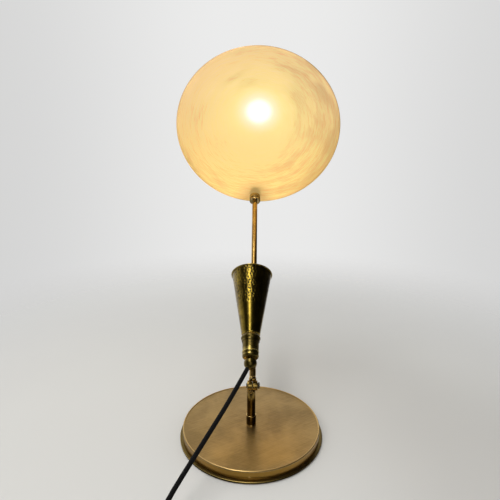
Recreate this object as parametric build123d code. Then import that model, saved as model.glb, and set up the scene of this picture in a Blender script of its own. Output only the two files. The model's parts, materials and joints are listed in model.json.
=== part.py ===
from build123d import *
import math
import os

# Reflector table lamp: a weighted round base, a stem, a hinged rod that leans back,
# a small lampholder with a hammered cone that shines up the rod, and a round dish
# reflector on a ball joint at the rod's end.
# Millimetres. +Z is up, the front is -Y, and the origin is the centre of the base's
# underside.

# Clearances
seat_gap = 0.05
running_gap = 0.05
side_gap = 0.3

# Base, from the table up
flange_radius = 110.0
felt_inset = 4.0
felt_bore = 30.0
felt_thickness = 1.0
flange_thickness = 3.0
flange_bore = 15.0
cover_step = 4.5
cover_height = 14.0
cover_wall = 1.5
groove_depth = 1.5
groove_height = 2.5
rim_bead = 1.2
plate_drop = 0.8
ballast_gap = 4.5
pocket_radius = 17.0
pocket_depth = 5.0
flange_screw_count = 3
flange_screw_circle = 80.0
flange_screw_radius = 2.0
flange_screw_head = 3.8
flange_screw_length = 10.0

# Stem
nipple_wall = 1.5
nipple_length = 40.5
base_washer_radius = 14.0
base_washer_thickness = 1.0
base_nut_wall = 2.0
base_nut_height = 3.5
ferrule_wall = 1.0
ferrule_height = 17.3
ferrule_seat = 9.8
stem_radius = 6.5
stem_wall = 1.4
stem_length = 47.8

# Knuckle
pivot_height = 85.0
pivot_x = 1.95
cheek_radius = 7.5
cheek_width = 7.6
shoulder_height = 2.0
spigot_length = 14.0
web_width = 9.0
pin_radius = 3.0
pin_head_radius = 4.0
pin_head_height = 1.6
washer_radius = 4.2
washer_thickness = 0.8
nut_flats = 8.6
nut_height = 2.1
neck_step = 0.7
neck_top = 12.6
rod_spigot_length = 12.0

# Rod and the reflector's ball joint
arm_angle = 54.0
rod_radius = 5.0
rod_wall = 1.0
ball_station = 385.0
ball_radius = 6.5
ring_wall = 1.5
socket_ring_height = 4.0
ring_groove = 0.8
cup_wall = 1.3
cup_floor = 1.2
seat_low = 4.5
seat_high = 2.8
seat_wall = 1.1
lip_gap = 0.53
lip_top = 6.5
lip_angle = 41.0
stud_radius = 2.5
stud_flange_radius = 5.5
stud_flange_height = 1.35
tail_radius = 2.0
tail_length = 6.5
back_washer_radius = 6.0
back_washer_thickness = 1.0
dome_nut_radius = 4.5
dome_nut_height = 6.5

# Dish reflector, spun from sheet: a tight crown that runs out into a flatter skirt
stud_off = 31.7
dish_roll = 2.4
dish_seat = 15.0
dish_radius = 150.0
dish_wall = 1.0
crown_radius = 150.0
crown_slope = 8.0
skirt_radius = 1000.0
dish_bead = 1.5
hole_inset = 10.0

# Lamp head
lamp_side = -3.0
lamp_offset = 40.0
head_low = 52.4
head_high = 63.3
collar_wall = 1.5
collar_recess = 3.0
clamp_radius = 9.0
web_bar_width = 10.0
web_bar_height = 8.0
grub_radius = 2.0
outlet_radius = 9.75
outlet_station = 17.8
cap_low = 25.4
cap_wall = 1.4
cap_floor = 2.0
cap_foot_radius = 10.4
cap_step = 0.1
cap_top = 36.0
cap_bead = 0.35
holder_radius = 12.35
holder_flange_step = 0.85
holder_thread_radius = 11.0
holder_top = 69.5
holder_wall = 1.3
socket_plug_low = 33.0
socket_plug_floor = 7.0
socket_plug_top = 64.0
insulator_wall = 1.9
screw_shell_wall = 0.5
terminal_side = 4.5
terminal_radius = 1.4
shade_nut_height = 4.0
shade_nut_wall = 1.85
holder_nipple_radius = 5.0
holder_nipple_low = 19.2
holder_nipple_top = 31.0
holder_nut_radius = 8.0
holder_nut_height = 3.0

# Cone shade
cone_wall = 1.0
cone_low_radius = 14.08
cone_slope = 0.1671
cone_mouth = 174.9
lip_width = 1.35
lip_height = 1.2

# Reflector bulb
bulb_cap_gap = 0.35
bulb_cap_low = 45.0
bulb_cap_top = 66.0
bulb_wall = 0.6
bulb_radius = 19.5
bulb_shoulder = 106.0
bulb_front = 119.5
filament_station = 96.0
filament_radius = 6.0

# Cord and plug
cord_radius = 3.25
cord_gap = 0.5
first_cord_point = (-29.0, -54.0, 95.0)
cord_bore_gap = 0.25
coil_x = -15.0
coil_y = -263.0
coil_inner = 25.5
coil_half_turns = 12
plug_sleeve_length = 22.0
plug_sleeve_radius = 5.2
plug_width = 36.0
plug_length = 36.0
pin_pitch = 19.0
plug_pin_radius = 2.4
plug_pin_length = 19.0


def rod_of(radius, low, high):
    """A round bar from low to high."""
    return Pos(0, 0, low) * Cylinder(radius, high - low, align=(Align.CENTER, Align.CENTER, Align.MIN))


def pipe(radius, bore, low, high):
    """A round tube from low to high."""
    return rod_of(radius, low, high) - rod_of(bore, low - 1, high + 1)


def turned(points):
    """A body of revolution from (radius, height) corners."""
    outline = Polyline([(x, 0, z) for x, z in points], close=True)
    return revolve(make_face(outline.edges()), Axis.Z)


def hexagon(flats, bore, low, high):
    """A hexagon nut with a round bore."""
    block = extrude(RegularPolygon(flats / 2, 6, major_radius=False), high - low)
    return Pos(0, 0, low) * block - rod_of(bore, low - 1, high + 1)


def solid(shape):
    """The one solid of a cut or joined shape."""
    return shape.solids()[0] if len(shape.solids()) == 1 else Compound(shape.solids())


nodes = {}

# Base
felt_radius = flange_radius - felt_inset
cover_radius = flange_radius - cover_step
ballast_radius = cover_radius - cover_wall - groove_depth - ballast_gap
flange_top = felt_thickness + flange_thickness
cover_top = flange_top + cover_height
plate_top = cover_top - plate_drop
plate_under = plate_top - cover_wall
nodes["felt_pad"] = pipe(felt_radius, felt_bore, 0, felt_thickness)

screw_places = PolarLocations(flange_screw_circle, flange_screw_count)
flange = pipe(flange_radius, flange_bore, felt_thickness, flange_top)
countersink = flange_screw_head - flange_screw_radius
screw_head = turned([
    (0, felt_thickness + seat_gap),
    (flange_screw_head, felt_thickness + seat_gap),
    (flange_screw_radius, felt_thickness + seat_gap + countersink),
    (flange_screw_radius, felt_thickness + flange_screw_length),
    (0, felt_thickness + flange_screw_length),
])
head_room = turned([
    (0, felt_thickness - 1),
    (flange_screw_head + seat_gap + 1, felt_thickness - 1),
    (flange_screw_radius + seat_gap, felt_thickness + countersink),
    (flange_screw_radius + seat_gap, felt_thickness + flange_screw_length + 0.5),
    (0, felt_thickness + flange_screw_length + 0.5),
])
nodes["base_flange"] = flange - [place * head_room for place in screw_places]
nodes["flange_screws"] = Compound([place * screw_head for place in screw_places])

stem_bore = stem_radius - stem_wall
nipple_radius = stem_bore - 2 * seat_gap
pocket_top = flange_top + pocket_depth
ballast = pipe(ballast_radius, nipple_radius + seat_gap, flange_top, plate_under)
ballast = ballast - rod_of(pocket_radius, flange_top - 1, pocket_top)
nodes["ballast"] = ballast - [place * head_room for place in screw_places]

inner = cover_radius - cover_wall
nodes["base_cover"] = turned([
    (cover_radius - groove_depth, flange_top),
    (cover_radius - groove_depth, flange_top + groove_height),
    (cover_radius, flange_top + groove_height),
    (cover_radius, cover_top - rim_bead),
    (cover_radius - 0.35 * rim_bead, cover_top - 0.35 * rim_bead),
    (cover_radius - rim_bead, cover_top),
    (cover_radius - 1.65 * rim_bead, cover_top - 0.35 * rim_bead),
    (cover_radius - 2 * rim_bead, plate_top),
    (nipple_radius + seat_gap, plate_top),
    (nipple_radius + seat_gap, plate_under),
    (inner, plate_under),
    (inner, flange_top + groove_height + cover_wall),
    (inner - groove_depth, flange_top + groove_height),
    (inner - groove_depth, flange_top),
])

# Stem, clamped to the base by a threaded nipple and a nut in the ballast's pocket
nipple_low = pocket_top - base_washer_thickness - base_nut_height - 0.3
nodes["base_washer"] = pipe(
    base_washer_radius, nipple_radius + seat_gap, pocket_top - base_washer_thickness, pocket_top)
nodes["base_nut"] = hexagon(
    2 * (nipple_radius + base_nut_wall), nipple_radius + seat_gap,
    pocket_top - base_washer_thickness - base_nut_height, pocket_top - base_washer_thickness)
nodes["stem_nipple"] = pipe(
    nipple_radius, nipple_radius - nipple_wall, nipple_low, nipple_low + nipple_length)
ferrule_top = plate_top + ferrule_height
stem_low = plate_top + ferrule_seat
stem_top = stem_low + stem_length
ferrule_radius = stem_radius + ferrule_wall
ferrule = pipe(ferrule_radius, nipple_radius + seat_gap, plate_top, ferrule_top)
nodes["stem_ferrule"] = ferrule - rod_of(stem_radius + seat_gap, stem_low, ferrule_top + 1)
nodes["stem_tube"] = pipe(stem_radius, stem_bore, stem_low, stem_top)

# Knuckle, lower half: spigot, shoulder and the left cheek
joint_x = pivot_x - side_gap / 2
cheek_left = joint_x - cheek_width
cheek_right = joint_x + side_gap + cheek_width
across = Plane(origin=(0, 0, pivot_height), x_dir=(0, 1, 0), z_dir=(1, 0, 0)).location
lower = rod_of(stem_bore - seat_gap, stem_top - spigot_length, stem_top)
lower = lower + rod_of(stem_radius, stem_top, stem_top + shoulder_height)
web_height = pivot_height - stem_top
lower = lower + Pos((cheek_left + joint_x) / 2, 0, stem_top + web_height / 2) * Box(
    cheek_width, web_width, web_height)
lower = lower + across * rod_of(cheek_radius, cheek_left, joint_x)
nodes["knuckle_lower"] = lower - across * rod_of(pin_radius + running_gap, cheek_left - 1, joint_x + 1)

# The screw that is the hinge pin, its washer and its nut
washer_left = cheek_right + 0.15
nut_left = washer_left + washer_thickness
nut_right = nut_left + nut_height
pin = rod_of(pin_head_radius, cheek_left - pin_head_height, cheek_left)
pin = pin + rod_of(pin_radius, cheek_left, nut_right + 0.4)
slot = Pos(0, 0, cheek_left - pin_head_height) * Box(1.2, 3 * pin_head_radius, 1.4)
nodes["knuckle_screw"] = across * (pin - slot)
nodes["knuckle_washer"] = across * pipe(washer_radius, pin_radius + seat_gap, washer_left, nut_left)
nodes["knuckle_nut"] = across * hexagon(nut_flats, pin_radius + seat_gap, nut_left, nut_right)

# The arm's frame: its origin on the hinge, its Z up the rod, its -Y towards the lamp head
lean = math.radians(arm_angle)
arm = Plane(
    origin=(pivot_x, 0, pivot_height),
    x_dir=(1, 0, 0),
    z_dir=(0, math.sin(lean), math.cos(lean))).location
across_arm = Plane(origin=(0, 0, 0), x_dir=(0, 1, 0), z_dir=(1, 0, 0)).location

# Knuckle, upper half: the right cheek, the neck and a spigot up the rod
neck_low = cheek_radius + side_gap + 0.1
upper_left = side_gap / 2
rod_bore = rod_radius - rod_wall
neck_radius = rod_radius + neck_step
upper = across_arm * rod_of(cheek_radius, upper_left, upper_left + cheek_width)
bridge_width = neck_radius - upper_left
upper = upper + Pos(upper_left + bridge_width / 2, 0, neck_low / 2 + 0.5) * Box(
    bridge_width, web_width, neck_low + 1)
neck_ring = 0.5
neck_middle = (neck_low + neck_top) / 2
upper = upper + turned([
    (0, neck_low),
    (neck_radius, neck_low),
    (neck_radius, neck_middle - neck_ring),
    (neck_radius - neck_ring, neck_middle),
    (neck_radius, neck_middle + neck_ring),
    (neck_radius, neck_top - neck_ring),
    (neck_radius - neck_ring, neck_top),
    (0, neck_top),
])
upper = upper + rod_of(rod_bore - seat_gap, neck_top - 1, neck_top + rod_spigot_length)
nodes["knuckle_upper"] = arm * (upper - across_arm * rod_of(
    pin_radius + running_gap, upper_left - 1, upper_left + cheek_width + 1))

# Rod, and the two rings that hold the reflector's ball at its end
socket_low = ball_station - ball_radius - 0.3 - cup_floor
socket_high = socket_low + socket_ring_height
seat_outer = ball_radius + running_gap + seat_wall
cup_radius = seat_outer + running_gap
thread_radius = cup_radius + cup_wall
ring_radius = thread_radius + ring_wall
nodes["arm_rod"] = arm * pipe(rod_radius, rod_bore, neck_top, socket_low)
socket = turned([
    (0, socket_low - rod_spigot_length),
    (rod_bore - seat_gap, socket_low - rod_spigot_length),
    (rod_bore - seat_gap, socket_low),
    (ring_radius - 0.8, socket_low),
    (ring_radius, socket_low + 0.8),
    (ring_radius, socket_high - 0.8),
    (ring_radius - 0.8, socket_high),
    (thread_radius, socket_high),
    (thread_radius, ball_station + seat_high),
    (cup_radius, ball_station + seat_high),
    (cup_radius, ball_station - seat_low),
    (ball_radius - 0.5, ball_station - seat_low),
    (ball_radius - 0.5, ball_station - ball_radius - 0.3),
    (0, ball_station - ball_radius - 0.3),
])
nodes["swivel_socket"] = arm * socket
cap_start = socket_high + ring_groove
lip_low = ball_station + seat_high + 0.2
lip_high = ball_station + lip_top
lip_low_radius = math.sqrt(ball_radius ** 2 - (lip_low - ball_station) ** 2) + lip_gap
lip_high_radius = lip_low_radius + (lip_high - lip_low) * math.tan(math.radians(lip_angle))
nodes["swivel_cap"] = arm * turned([
    (thread_radius + seat_gap, cap_start),
    (ring_radius - 0.8, cap_start),
    (ring_radius, cap_start + 0.8),
    (ring_radius, lip_high - 1.2),
    (ring_radius - 0.35, lip_high - 0.35),
    (lip_high_radius + 0.2, lip_high),
    (lip_high_radius, lip_high),
    (lip_low_radius, lip_low),
    (thread_radius + seat_gap, lip_low),
])
seat = pipe(seat_outer, 2.0, ball_station - seat_low, ball_station + seat_high)
nodes["ball_seat"] = arm * (seat - Pos(0, 0, ball_station) * Sphere(ball_radius + running_gap))

# The ball's stud stands square to the dish's wall at its hole
stud = arm * Pos(0, 0, ball_station) * Rot(-stud_off, 0, 0) * Rot(0, 0, dish_roll)
flange_start = dish_seat - seat_gap - stud_flange_height
ball_stud = Sphere(ball_radius) + rod_of(stud_radius, 0, flange_start + 0.5)
ball_stud = ball_stud + rod_of(stud_flange_radius, flange_start, dish_seat - seat_gap)
ball_stud = ball_stud + rod_of(tail_radius, flange_start, dish_seat + dish_wall + tail_length)
nodes["swivel_ball"] = stud * ball_stud


# Dish: two arcs that meet at the crown's slope, each followed at any distance from the
# mirror face, so that the wall has one thickness
crown_edge = crown_radius * math.sin(math.radians(crown_slope))
skirt_centre_r = crown_edge - skirt_radius * math.sin(math.radians(crown_slope))
skirt_centre_z = crown_radius + (skirt_radius - crown_radius) * math.cos(math.radians(crown_slope))


def dish_point(slope, behind):
    """The dish's point where the wall has this slope in degrees, a distance behind the mirror face."""
    turn = math.radians(slope)
    if slope <= crown_slope:
        reach = crown_radius + behind
        return (reach * math.sin(turn), 0, crown_radius - reach * math.cos(turn))
    reach = skirt_radius + behind
    return (skirt_centre_r + reach * math.sin(turn), 0, skirt_centre_z - reach * math.cos(turn))


def slope_at(radius):
    """The wall's slope in degrees at this radius of the mirror face."""
    return math.degrees(math.asin((radius - skirt_centre_r) / skirt_radius))


rim_slope = slope_at(dish_radius - dish_bead)
middle_slope = (rim_slope + crown_slope) / 2
wall = [
    ThreePointArc(dish_point(0, 0), dish_point(crown_slope / 2, 0), dish_point(crown_slope, 0)),
    ThreePointArc(dish_point(crown_slope, 0), dish_point(middle_slope, 0), dish_point(rim_slope, 0)),
    Line(dish_point(rim_slope, 0), dish_point(rim_slope, dish_wall)),
    ThreePointArc(
        dish_point(rim_slope, dish_wall), dish_point(middle_slope, dish_wall),
        dish_point(crown_slope, dish_wall)),
    ThreePointArc(
        dish_point(crown_slope, dish_wall), dish_point(crown_slope / 2, dish_wall),
        dish_point(0, dish_wall)),
    Line(dish_point(0, dish_wall), dish_point(0, 0)),
]
dish = revolve(make_face(wall), Axis.Z)
bead_at = dish_point(rim_slope, dish_wall / 2)
bead = Pos(0, 0, bead_at[2]) * Torus(bead_at[0], dish_bead)
hole_radius = dish_radius - hole_inset
hole_slope = slope_at(hole_radius)
hole_at = dish_point(hole_slope, 0)
dish_frame = stud * Pos(0, 0, dish_seat) * Rot(180 + hole_slope, 0, 0) * Pos(0, hole_at[0], -hole_at[2])
nodes["reflector_dish"] = dish_frame * (dish + bead) - stud * rod_of(
    tail_radius + seat_gap, dish_seat - 3, dish_seat + dish_wall + 3)
washer_low = dish_seat + dish_wall + seat_gap
nodes["back_washer"] = stud * pipe(
    back_washer_radius, tail_radius + seat_gap, washer_low, washer_low + back_washer_thickness)
nut_low = washer_low + back_washer_thickness
nut_bore_top = dish_seat + dish_wall + tail_length + 0.3
dome = rod_of(dome_nut_radius, nut_low, nut_low + dome_nut_height)
dome = fillet(dome.edges().sort_by(Axis.Z)[-1:], 0.6 * dome_nut_radius)
nodes["dome_nut"] = stud * (dome - rod_of(tail_radius + seat_gap, nut_low - 1, nut_bore_top))

# The lamp head's frame: beside the rod, its Z along the cone
head = arm * Pos(lamp_side, -lamp_offset, 0)

# Bracket: a clamp on the rod, a bar and the collar that holds the lampholder
holder_flange_radius = holder_radius + holder_flange_step
collar_recess_radius = holder_flange_radius + side_gap
collar_radius = collar_recess_radius + collar_wall
thread_hole = holder_thread_radius + seat_gap
bar_start = -lamp_offset + collar_radius - 2
bar_end = -clamp_radius + 2
bracket = rod_of(clamp_radius, head_low, head_high)
bracket = bracket + Pos(lamp_side / 2, (bar_start + bar_end) / 2, (head_low + head_high) / 2) * Box(
    web_bar_width, bar_end - bar_start, web_bar_height)
collar_round = 1.5
collar = turned([
    (0, head_low),
    (collar_radius - collar_round, head_low),
    (collar_radius, head_low + 2 * collar_round),
    (collar_radius, head_high - 2 * collar_round),
    (collar_radius - collar_round, head_high),
    (0, head_high),
])
bracket = bracket + Pos(lamp_side, -lamp_offset, 0) * collar
bracket = bracket - Pos(lamp_side, -lamp_offset, 0) * rod_of(thread_hole, head_low - 1, head_high + 1)
bracket = bracket - Pos(lamp_side, -lamp_offset, 0) * rod_of(
    collar_recess_radius, head_low - 1, head_low + collar_recess)
bracket = bracket - rod_of(rod_radius + seat_gap, head_low - 1, head_high + 1)
grub_hole = Pos(0, rod_radius - 1, (head_low + head_high) / 2) * Rot(-90, 0, 0)
bracket = bracket - grub_hole * rod_of(grub_radius + seat_gap, 0, clamp_radius)
nodes["lamp_bracket"] = arm * bracket
grub_low = 1 + 2 * seat_gap
grub = rod_of(grub_radius, grub_low, clamp_radius - rod_radius + 0.8)
grub = grub - Pos(0, 0, clamp_radius - rod_radius - 1) * extrude(
    RegularPolygon(1.0, 6, major_radius=False), 3)
nodes["bracket_screw"] = arm * grub_hole * grub

# Lampholder: outlet ball, nipple, cap and threaded shell
cord_bore = cord_radius + cord_bore_gap
outlet = head * Pos(0, 0, outlet_station)
outlet_world = outlet.position
exit_plane = Plane(origin=outlet_world, z_dir=Vector(*first_cord_point) - outlet_world)
ball = Pos(0, 0, outlet_station) * Sphere(outlet_radius)
ball = ball - rod_of(outlet_radius, cap_low, cap_low + outlet_radius)
ball = ball - rod_of(holder_nipple_radius + seat_gap, holder_nipple_low - 0.2, cap_low + 1)
ball = ball - rod_of(cord_bore, outlet_station, cap_low)
ball = ball - Pos(0, 0, outlet_station) * Sphere(cord_bore)
ball = head * ball - exit_plane.location * rod_of(cord_bore, 0, outlet_radius + 2)
nodes["cord_ball"] = ball
inner_cord = head * rod_of(cord_radius, outlet_station, holder_nipple_top - 1.5)
inner_cord = inner_cord + exit_plane.location * rod_of(cord_radius, 0, outlet_radius)
inner_cord = inner_cord + outlet * Sphere(cord_radius)
nodes["cord_inner"] = inner_cord
nodes["holder_nipple"] = head * pipe(holder_nipple_radius, cord_bore, holder_nipple_low, holder_nipple_top)
nodes["holder_nut"] = head * pipe(
    holder_nut_radius, holder_nipple_radius + seat_gap, cap_low + cap_floor,
    cap_low + cap_floor + holder_nut_height)
cap_radius = holder_radius + cap_step
cap_bore = cap_radius - cap_wall
cap_bend = 30.0
nodes["holder_cap"] = head * turned([
    (holder_nipple_radius + seat_gap, cap_low),
    (cap_foot_radius, cap_low),
    ((cap_foot_radius + cap_radius) / 2 + 0.5, (cap_low + cap_bend) / 2 - 0.5),
    (cap_radius, cap_bend),
    (cap_radius, cap_top - 1.4),
    (cap_radius + cap_bead, cap_top - 1.05),
    (cap_radius + cap_bead, cap_top - 0.35),
    (cap_radius, cap_top),
    (cap_bore + seat_gap, cap_top),
    (cap_bore + seat_gap, cap_bend),
    (cap_foot_radius - cap_wall, cap_low + cap_floor),
    (holder_nipple_radius + seat_gap, cap_low + cap_floor),
])
holder_bore = holder_thread_radius - holder_wall
flange_low = head_low + collar_recess - 1.9
nodes["holder_shell"] = head * turned([
    (cap_bore, cap_top - 4.5),
    (cap_bore, cap_top),
    (holder_radius, cap_top),
    (holder_radius, flange_low),
    (holder_flange_radius, flange_low),
    (holder_flange_radius, head_low + collar_recess),
    (holder_thread_radius, head_low + collar_recess),
    (holder_thread_radius, holder_top),
    (holder_bore, holder_top),
    (holder_bore, cap_top - 4.5),
])
floor_top = socket_plug_low + socket_plug_floor
screw_shell_radius = holder_bore - seat_gap - insulator_wall
shell_bore = screw_shell_radius - screw_shell_wall
insulator = rod_of(holder_bore - seat_gap, socket_plug_low, socket_plug_top)
insulator = insulator - rod_of(screw_shell_radius + seat_gap, floor_top, socket_plug_top + 1)
for side in (-1, 1):
    insulator = insulator - Pos(side * terminal_side, 0, 0) * rod_of(
        terminal_radius + seat_gap, socket_plug_low - 1, floor_top + 1)
nodes["socket_insulator"] = head * insulator
nodes["screw_shell"] = head * pipe(screw_shell_radius, shell_bore, floor_top + 2, socket_plug_top)
terminal = rod_of(terminal_radius, socket_plug_low - 1.5, floor_top)
nodes["terminals"] = head * Compound([Pos(side * terminal_side, 0, 0) * terminal for side in (-1, 1)])
contact_top = bulb_cap_low - 2.4
nodes["centre_contact"] = head * rod_of(2.2, floor_top, contact_top)
wire_low = holder_nipple_top - 1.5
wire = Pos(1.6, 0, 0) * rod_of(0.8, wire_low, socket_plug_low - 1.5)
nodes["core_wires"] = head * Compound([wire, Rot(0, 0, 180) * wire])

# Cone shade, held on the collar by a ring nut on the lampholder's thread
cone_low = head_high


def cone_radius(station):
    """The cone's outer radius at this station along the lamp head."""
    return cone_low_radius + (station - cone_low) * cone_slope


lip_start = cone_mouth - lip_height
nodes["cone_shade"] = head * turned([
    (holder_thread_radius + seat_gap, cone_low),
    (cone_low_radius - 0.5, cone_low),
    (cone_radius(cone_low + 0.5), cone_low + 0.5),
    (cone_radius(lip_start), lip_start),
    (cone_radius(lip_start) + lip_width, lip_start + 0.3),
    (cone_radius(lip_start) + lip_width, cone_mouth - 0.3),
    (cone_radius(cone_mouth), cone_mouth),
    (cone_radius(cone_mouth) - cone_wall, cone_mouth),
    (cone_radius(cone_low + cone_wall) - cone_wall, cone_low + cone_wall),
    (holder_thread_radius + seat_gap, cone_low + cone_wall),
])
nodes["shade_nut"] = head * pipe(
    holder_thread_radius + shade_nut_wall, holder_thread_radius + seat_gap,
    cone_low + cone_wall, cone_low + cone_wall + shade_nut_height)

# Reflector bulb: screw cap, contact, glass with a silvered flank, and its filament
bulb_cap_radius = screw_shell_radius - screw_shell_wall - bulb_cap_gap
nodes["bulb_cap"] = head * turned([
    (2.4, bulb_cap_low - 1.3),
    (bulb_cap_radius, bulb_cap_low),
    (bulb_cap_radius, bulb_cap_top),
    (bulb_cap_radius - bulb_wall, bulb_cap_top),
    (bulb_cap_radius - bulb_wall, bulb_cap_low + 1),
    (2.4, bulb_cap_low),
])
nodes["bulb_contact"] = head * rod_of(2.4, contact_top, bulb_cap_low - 1.3)
glass = turned([
    (0, bulb_cap_top),
    (bulb_cap_radius - 0.2, bulb_cap_top),
    (bulb_cap_radius + 0.3, bulb_cap_top + 5),
    (0.62 * bulb_radius, bulb_cap_top + 12),
    (0.9 * bulb_radius, bulb_shoulder - 8),
    (bulb_radius, bulb_shoulder),
    (bulb_radius, bulb_shoulder + 4),
    (0.88 * bulb_radius, bulb_front - 5),
    (0.5 * bulb_radius, bulb_front - 1),
    (0, bulb_front),
])
hollow = turned([
    (0, bulb_cap_top + 1),
    (bulb_cap_radius - 1.2, bulb_cap_top + 1),
    (bulb_cap_radius - 0.7, bulb_cap_top + 5.5),
    (0.62 * bulb_radius - 1, bulb_cap_top + 12.6),
    (0.9 * bulb_radius - 1, bulb_shoulder - 7.6),
    (bulb_radius - 1, bulb_shoulder + 0.2),
    (bulb_radius - 1, bulb_shoulder + 3.6),
    (0.88 * bulb_radius - 0.8, bulb_front - 5.9),
    (0.5 * bulb_radius - 0.4, bulb_front - 2),
    (0, bulb_front - 1),
])
nodes["bulb_glass"] = head * (glass - hollow)
filament = Pos(0, 0, filament_station) * Torus(filament_radius, 0.5)
for side in (-1, 1):
    filament = filament + Pos(side * filament_radius, 0, 0) * rod_of(
        0.4, bulb_cap_top + 12.5, filament_station)
    lead_length = math.hypot(filament_radius - 2.5, 12.5)
    lead_angle = math.degrees(math.atan2(filament_radius - 2.5, 12.5))
    filament = filament + Pos(side * 2.5, 0, bulb_cap_top + 1.3) * Rot(0, side * lead_angle, 0) * rod_of(
        0.4, 0, lead_length)
nodes["bulb_filament"] = head * filament


def cord_tube(points):
    """A tube along straight runs and arcs as large as each corner's two runs allow."""
    radii = []
    for before, point, after in zip(points, points[1:], points[2:]):
        run_in = Vector(*point) - Vector(*before)
        run_out = Vector(*after) - Vector(*point)
        half_turn = math.radians(run_in.get_angle(run_out)) / 2
        radii.append(0.45 * min(run_in.length, run_out.length) / math.tan(half_turn))
    path = FilletPolyline(*points, radius=radii)
    start = Plane(origin=path @ 0, z_dir=path % 0)
    tube = sweep(start * Circle(cord_radius), path=path)
    section = math.pi * cord_radius ** 2 * path.length
    print("cord radii", [round(radius) for radius in radii])
    print("cord length %.1f, volume ratio %.5f" % (path.length, tube.volume / section))
    return tube, path


# Free stretch: from the outlet ball over the base's left front edge to the coil
exit_point = exit_plane.location * Pos(0, 0, outlet_radius)
cord_rest = cord_radius + 0.05
coil_pitch = 2 * cord_radius + cord_gap
coil_outer = coil_inner + (coil_half_turns // 2) * coil_pitch / 2
coil_entry = (coil_x - 2 * cord_radius, coil_y - coil_outer, cord_rest)
lead_points = [
    tuple(exit_point.position),
    first_cord_point,
    (-54.0, -93.0, 71.0),
    (-77.0, -132.0, 51.0),
    (-97.0, -170.0, 35.0),
    (-113.0, -210.0, 20.0),
    (-121.0, -250.0, 8.0),
    (-108.0, -288.0, cord_rest),
    (-70.0, coil_entry[1], cord_rest),
    coil_entry,
]
nodes["cord_lead"], lead_path = cord_tube(lead_points)

# Coil: half turns that spiral in, climb one layer and spiral out again
half_turns = []
for number in range(coil_half_turns):
    steps_from_inner = abs(coil_half_turns // 2 - number)
    half_turns.append(coil_inner + steps_from_inner * coil_pitch / 2)
climb_number = coil_half_turns // 2
point = Vector(*coil_entry)
start_point = point
edges = [Line(point, point + Vector(2 * cord_radius, 0, 0))]
point = point + Vector(2 * cord_radius, 0, 0)
forward = 1
for number, radius in enumerate(half_turns):
    rise = coil_pitch if number == climb_number else 0
    end = point + Vector(0, 2 * radius * forward, rise)
    reach = (end - point).length / 2
    middle = (point + end) * 0.5 + Vector(reach * forward, 0, 0)
    edges.append(ThreePointArc(point, middle, end))
    point = end
    forward = -forward
edges.append(Line(point, point + Vector(2 * cord_radius * forward, 0, 0)))
coil_path = Wire([edge if isinstance(edge, Edge) else edge.edges()[0] for edge in edges])
coil_start = Plane(origin=start_point, z_dir=(1, 0, 0))
coil = sweep(coil_start * Circle(cord_radius), path=coil_path)
nodes["cord_coil"] = coil
print("coil length %.1f, volume ratio %.5f" % (
    coil_path.length, coil.volume / (math.pi * cord_radius ** 2 * coil_path.length)))

# The coil's least gap to itself, between points at least a sixth of a turn apart
step = 1.5
count = int(coil_path.length / step)
track = [coil_path.position_at(index / count) for index in range(count + 1)]
skip = int(math.pi * coil_inner / 3 / step)
least = min(
    (track[i] - track[j]).length
    for i in range(len(track)) for j in range(i + skip, len(track))
    if abs(track[i].X - track[j].X) < 3 * cord_radius and abs(track[i].Y - track[j].Y) < 3 * cord_radius)
print("coil least gap %.3f" % (least - 2 * cord_radius))

# Short tail from the coil to the plug
coil_exit = point + Vector(2 * cord_radius * forward, 0, 0)
tail_points = [
    tuple(coil_exit),
    (coil_exit.X + 30.0, coil_exit.Y, coil_exit.Z),
    (coil_exit.X + 59.0, coil_exit.Y - 9.0, coil_exit.Z),
]
nodes["cord_tail"], tail_path = cord_tube(tail_points)

# Plug: a flat two pin body that lies on the table beside the coil
plug = Plane(origin=tail_path @ 1, x_dir=Vector(0, 0, 1).cross(tail_path % 1), z_dir=tail_path % 1).location
body_end = plug_sleeve_length + plug_length
plug_thickness = 2 * coil_exit.Z
grip = Pos(0, 0, plug_sleeve_length) * extrude(
    RectangleRounded(plug_width, plug_thickness, 6.0), plug_length)
waist = loft([
    Plane.XY * Circle(plug_sleeve_radius),
    Pos(0, 0, plug_sleeve_length) * Circle(plug_sleeve_radius + 2.5),
])
nodes["plug_body"] = plug * (grip + waist)
plug_pin = rod_of(plug_pin_radius, body_end, body_end + plug_pin_length)
plug_pin = fillet(plug_pin.edges().sort_by(Axis.Z)[-1:], 1.5)
nodes["plug_pins"] = plug * Compound([
    Pos(side * pin_pitch / 2, 0, 0) * plug_pin for side in (-1, 1)])

print("cord length in all %.1f" % (lead_path.length + coil_path.length + tail_path.length))
os.makedirs("parts", exist_ok=True)
for name, shape in nodes.items():
    export_step(solid(shape), "parts/" + name + ".step")
print(len(nodes), "nodes")
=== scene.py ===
"""Looks of a reflector table lamp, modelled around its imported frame.

A weighted brass base carries a short stem. A knuckle on the stem holds a rod that leans back, a
small lampholder with a hammered cone shines up beside the rod, and a round brushed dish at the
rod's end throws the light back down. Outlines are in millimetres, as on a turner's drawing, and
places in Blender are in metres. Tones are display colours of 0 to 255.
"""

import json
import logging
import math
import random
from dataclasses import dataclass
from enum import Enum
from typing import Iterable, Optional

import bpy
import bmesh
from mathutils import Matrix, Vector
from mathutils.kdtree import KDTree


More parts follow.
